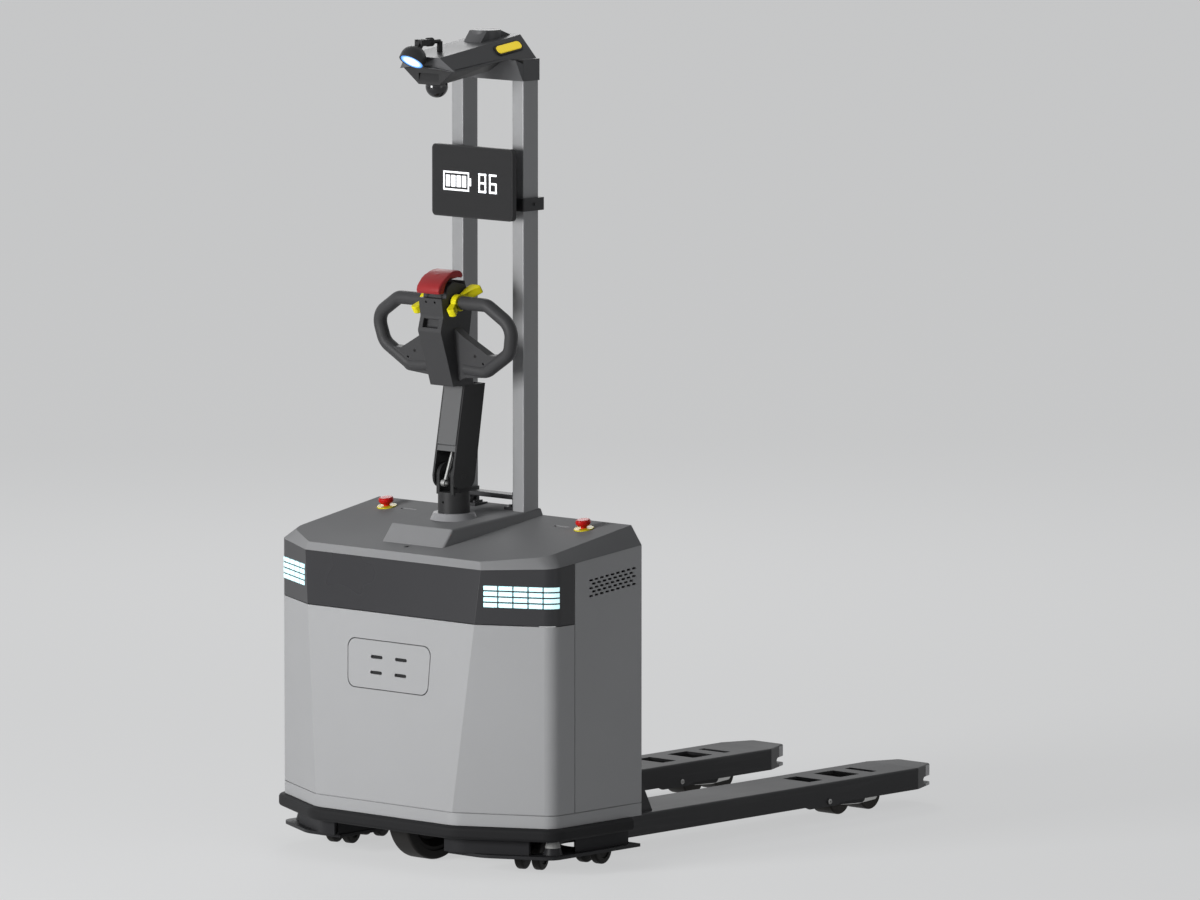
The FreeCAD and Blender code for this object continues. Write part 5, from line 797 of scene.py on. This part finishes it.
# ---- Battery and power unit ----
# A grey cased battery pack, and the hydraulic unit with the finned aluminium motor controller. All
# stand on the frame's deck under the covers.
pack_case = coated("battery_case", (0.10, 0.102, 0.106), 0.5, ripple=700.0, depth=0.25, rub=0.15)[0]
dress(pack_case, "battery_pack")
fin_metal = coated("controller_aluminium", (0.42, 0.42, 0.43), 0.38, 0.8, ripple=900.0, depth=0.08,
                   rub=0.05)[0]
dress(fin_metal, "power_unit")

# ---- Lift guides and rods ----
# Black steel rails behind the rear panel guide the fork carriage, with the lift cylinder between
# them. Bright plated push rods slide in the forks and swing the trail arms down as the forks rise.
dress(zinc, "push_rods")
dress(black_hardware, "lift_guides")

# ---- Forks ----
# Two blades folded from steel plate and welded to an upright carriage with gussets. The dark grey
# coat is rubbed thin along the blades by the loads that slide on them.
fork_coat, tree, shader, fork_colour = coated("fork_coat", (0.058, 0.058, 0.060), 0.48, 0.1,
                                              ripple=500.0, rub=0.35, light=2.4, shine=0.12)
rub_start, rub_full, rub_share = 0.55, 0.8, 0.35
fork_rub = tree.nodes.new("ShaderNodeMapRange")
fork_rub.inputs["From Min"].default_value = rub_start
fork_rub.inputs["From Max"].default_value = rub_full
wire(tree, place_group(tree, drawn, X=55.0, Y=2.2, Z=55.0).outputs["Lines"], fork_rub.inputs["Value"])
wire(tree, tinted(tree, fork_colour, fork_rub.outputs["Result"], (0.11, 0.11, 0.113), rub_share),
     shader.inputs["Base Color"])
dress(fork_coat, "fork_left", "fork_right", "fork_carriage")

# ---- Fork noses ----
# Cast noses screwed to the blades' ends, in the coat of the forks, each with a mouth for a sensor.
# The upright faces at their very ends carry a painted highlight: a pale grey that stands in for the light
# they catch.
tip_coat, tree, shader, tip_colour = coated("fork_nose_coat", (0.058, 0.058, 0.060), 0.48, 0.15,
                                            ripple=500.0, rub=0.3, light=1.6, shine=0.15)
highlight_length, upright_limit = 0.034, 0.4
tips_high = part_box("fork_tips")[1]
tip_end = place_group(tree, zone, Y=tips_high.y, Deep=highlight_length).outputs["Mask"]
tip_look = tree.nodes.new("ShaderNodeNewGeometry")
tip_axes = tree.nodes.new("ShaderNodeSeparateXYZ")
wire(tree, tip_look.outputs["Normal"], tip_axes.inputs[0])
tip_steepness = sum_node(tree, "ABSOLUTE", tip_axes.outputs["Z"], 0.0)
tip_sides = sum_node(tree, "LESS_THAN", tip_steepness, upright_limit)
tip_highlight_mask = sum_node(tree, "MULTIPLY", tip_end, tip_sides)
# painted highlight: the upright faces at the noses' ends turn pale grey, in place of the light they catch
wire(tree, tinted(tree, tip_colour, tip_highlight_mask, (0.48, 0.48, 0.485)), shader.inputs["Base Color"])
dress(tip_coat, "fork_tips")

# ---- Trail arms and load rollers ----
# Coated trail arms pinned in the blades by round-headed bolts, with plated tandem rockers at their
# ends. Each rocker holds two steel rollers with a polyurethane tread.
dress(fork_coat, "trail_arm_left", "trail_arm_right")
dress(zinc, "tandem_left", "tandem_right")
bolt_radius, bolt_height, beside_fork = 0.0068, 0.003, 0.3
fork_bolts = bmesh.new()
for side in ("left", "right"):
    pivot = Vector(joints["trail_arm_hinge_" + side]["pos_m"])
    for way in (-1.0, 1.0):
        place = seat("fork_" + side, pivot + Vector((way * beside_fork, 0.0, 0.0)), (-way, 0.0, 0.0))[0]
        socket_screw(fork_bolts, place, (way, 0.0, 0.0), bolt_radius, bolt_height)
piece("fork_pivot_bolts", fork_bolts, "fork_frame", nut_steel)
roller_tread = coated("roller_tread", (0.045, 0.041, 0.037), 0.5, ripple=400.0, depth=0.3, radius=0.0015,
                      rub=0.2, shine=0.15)[0]
dress(roller_tread, *[name for name in nodes if name.startswith("load_roller")])
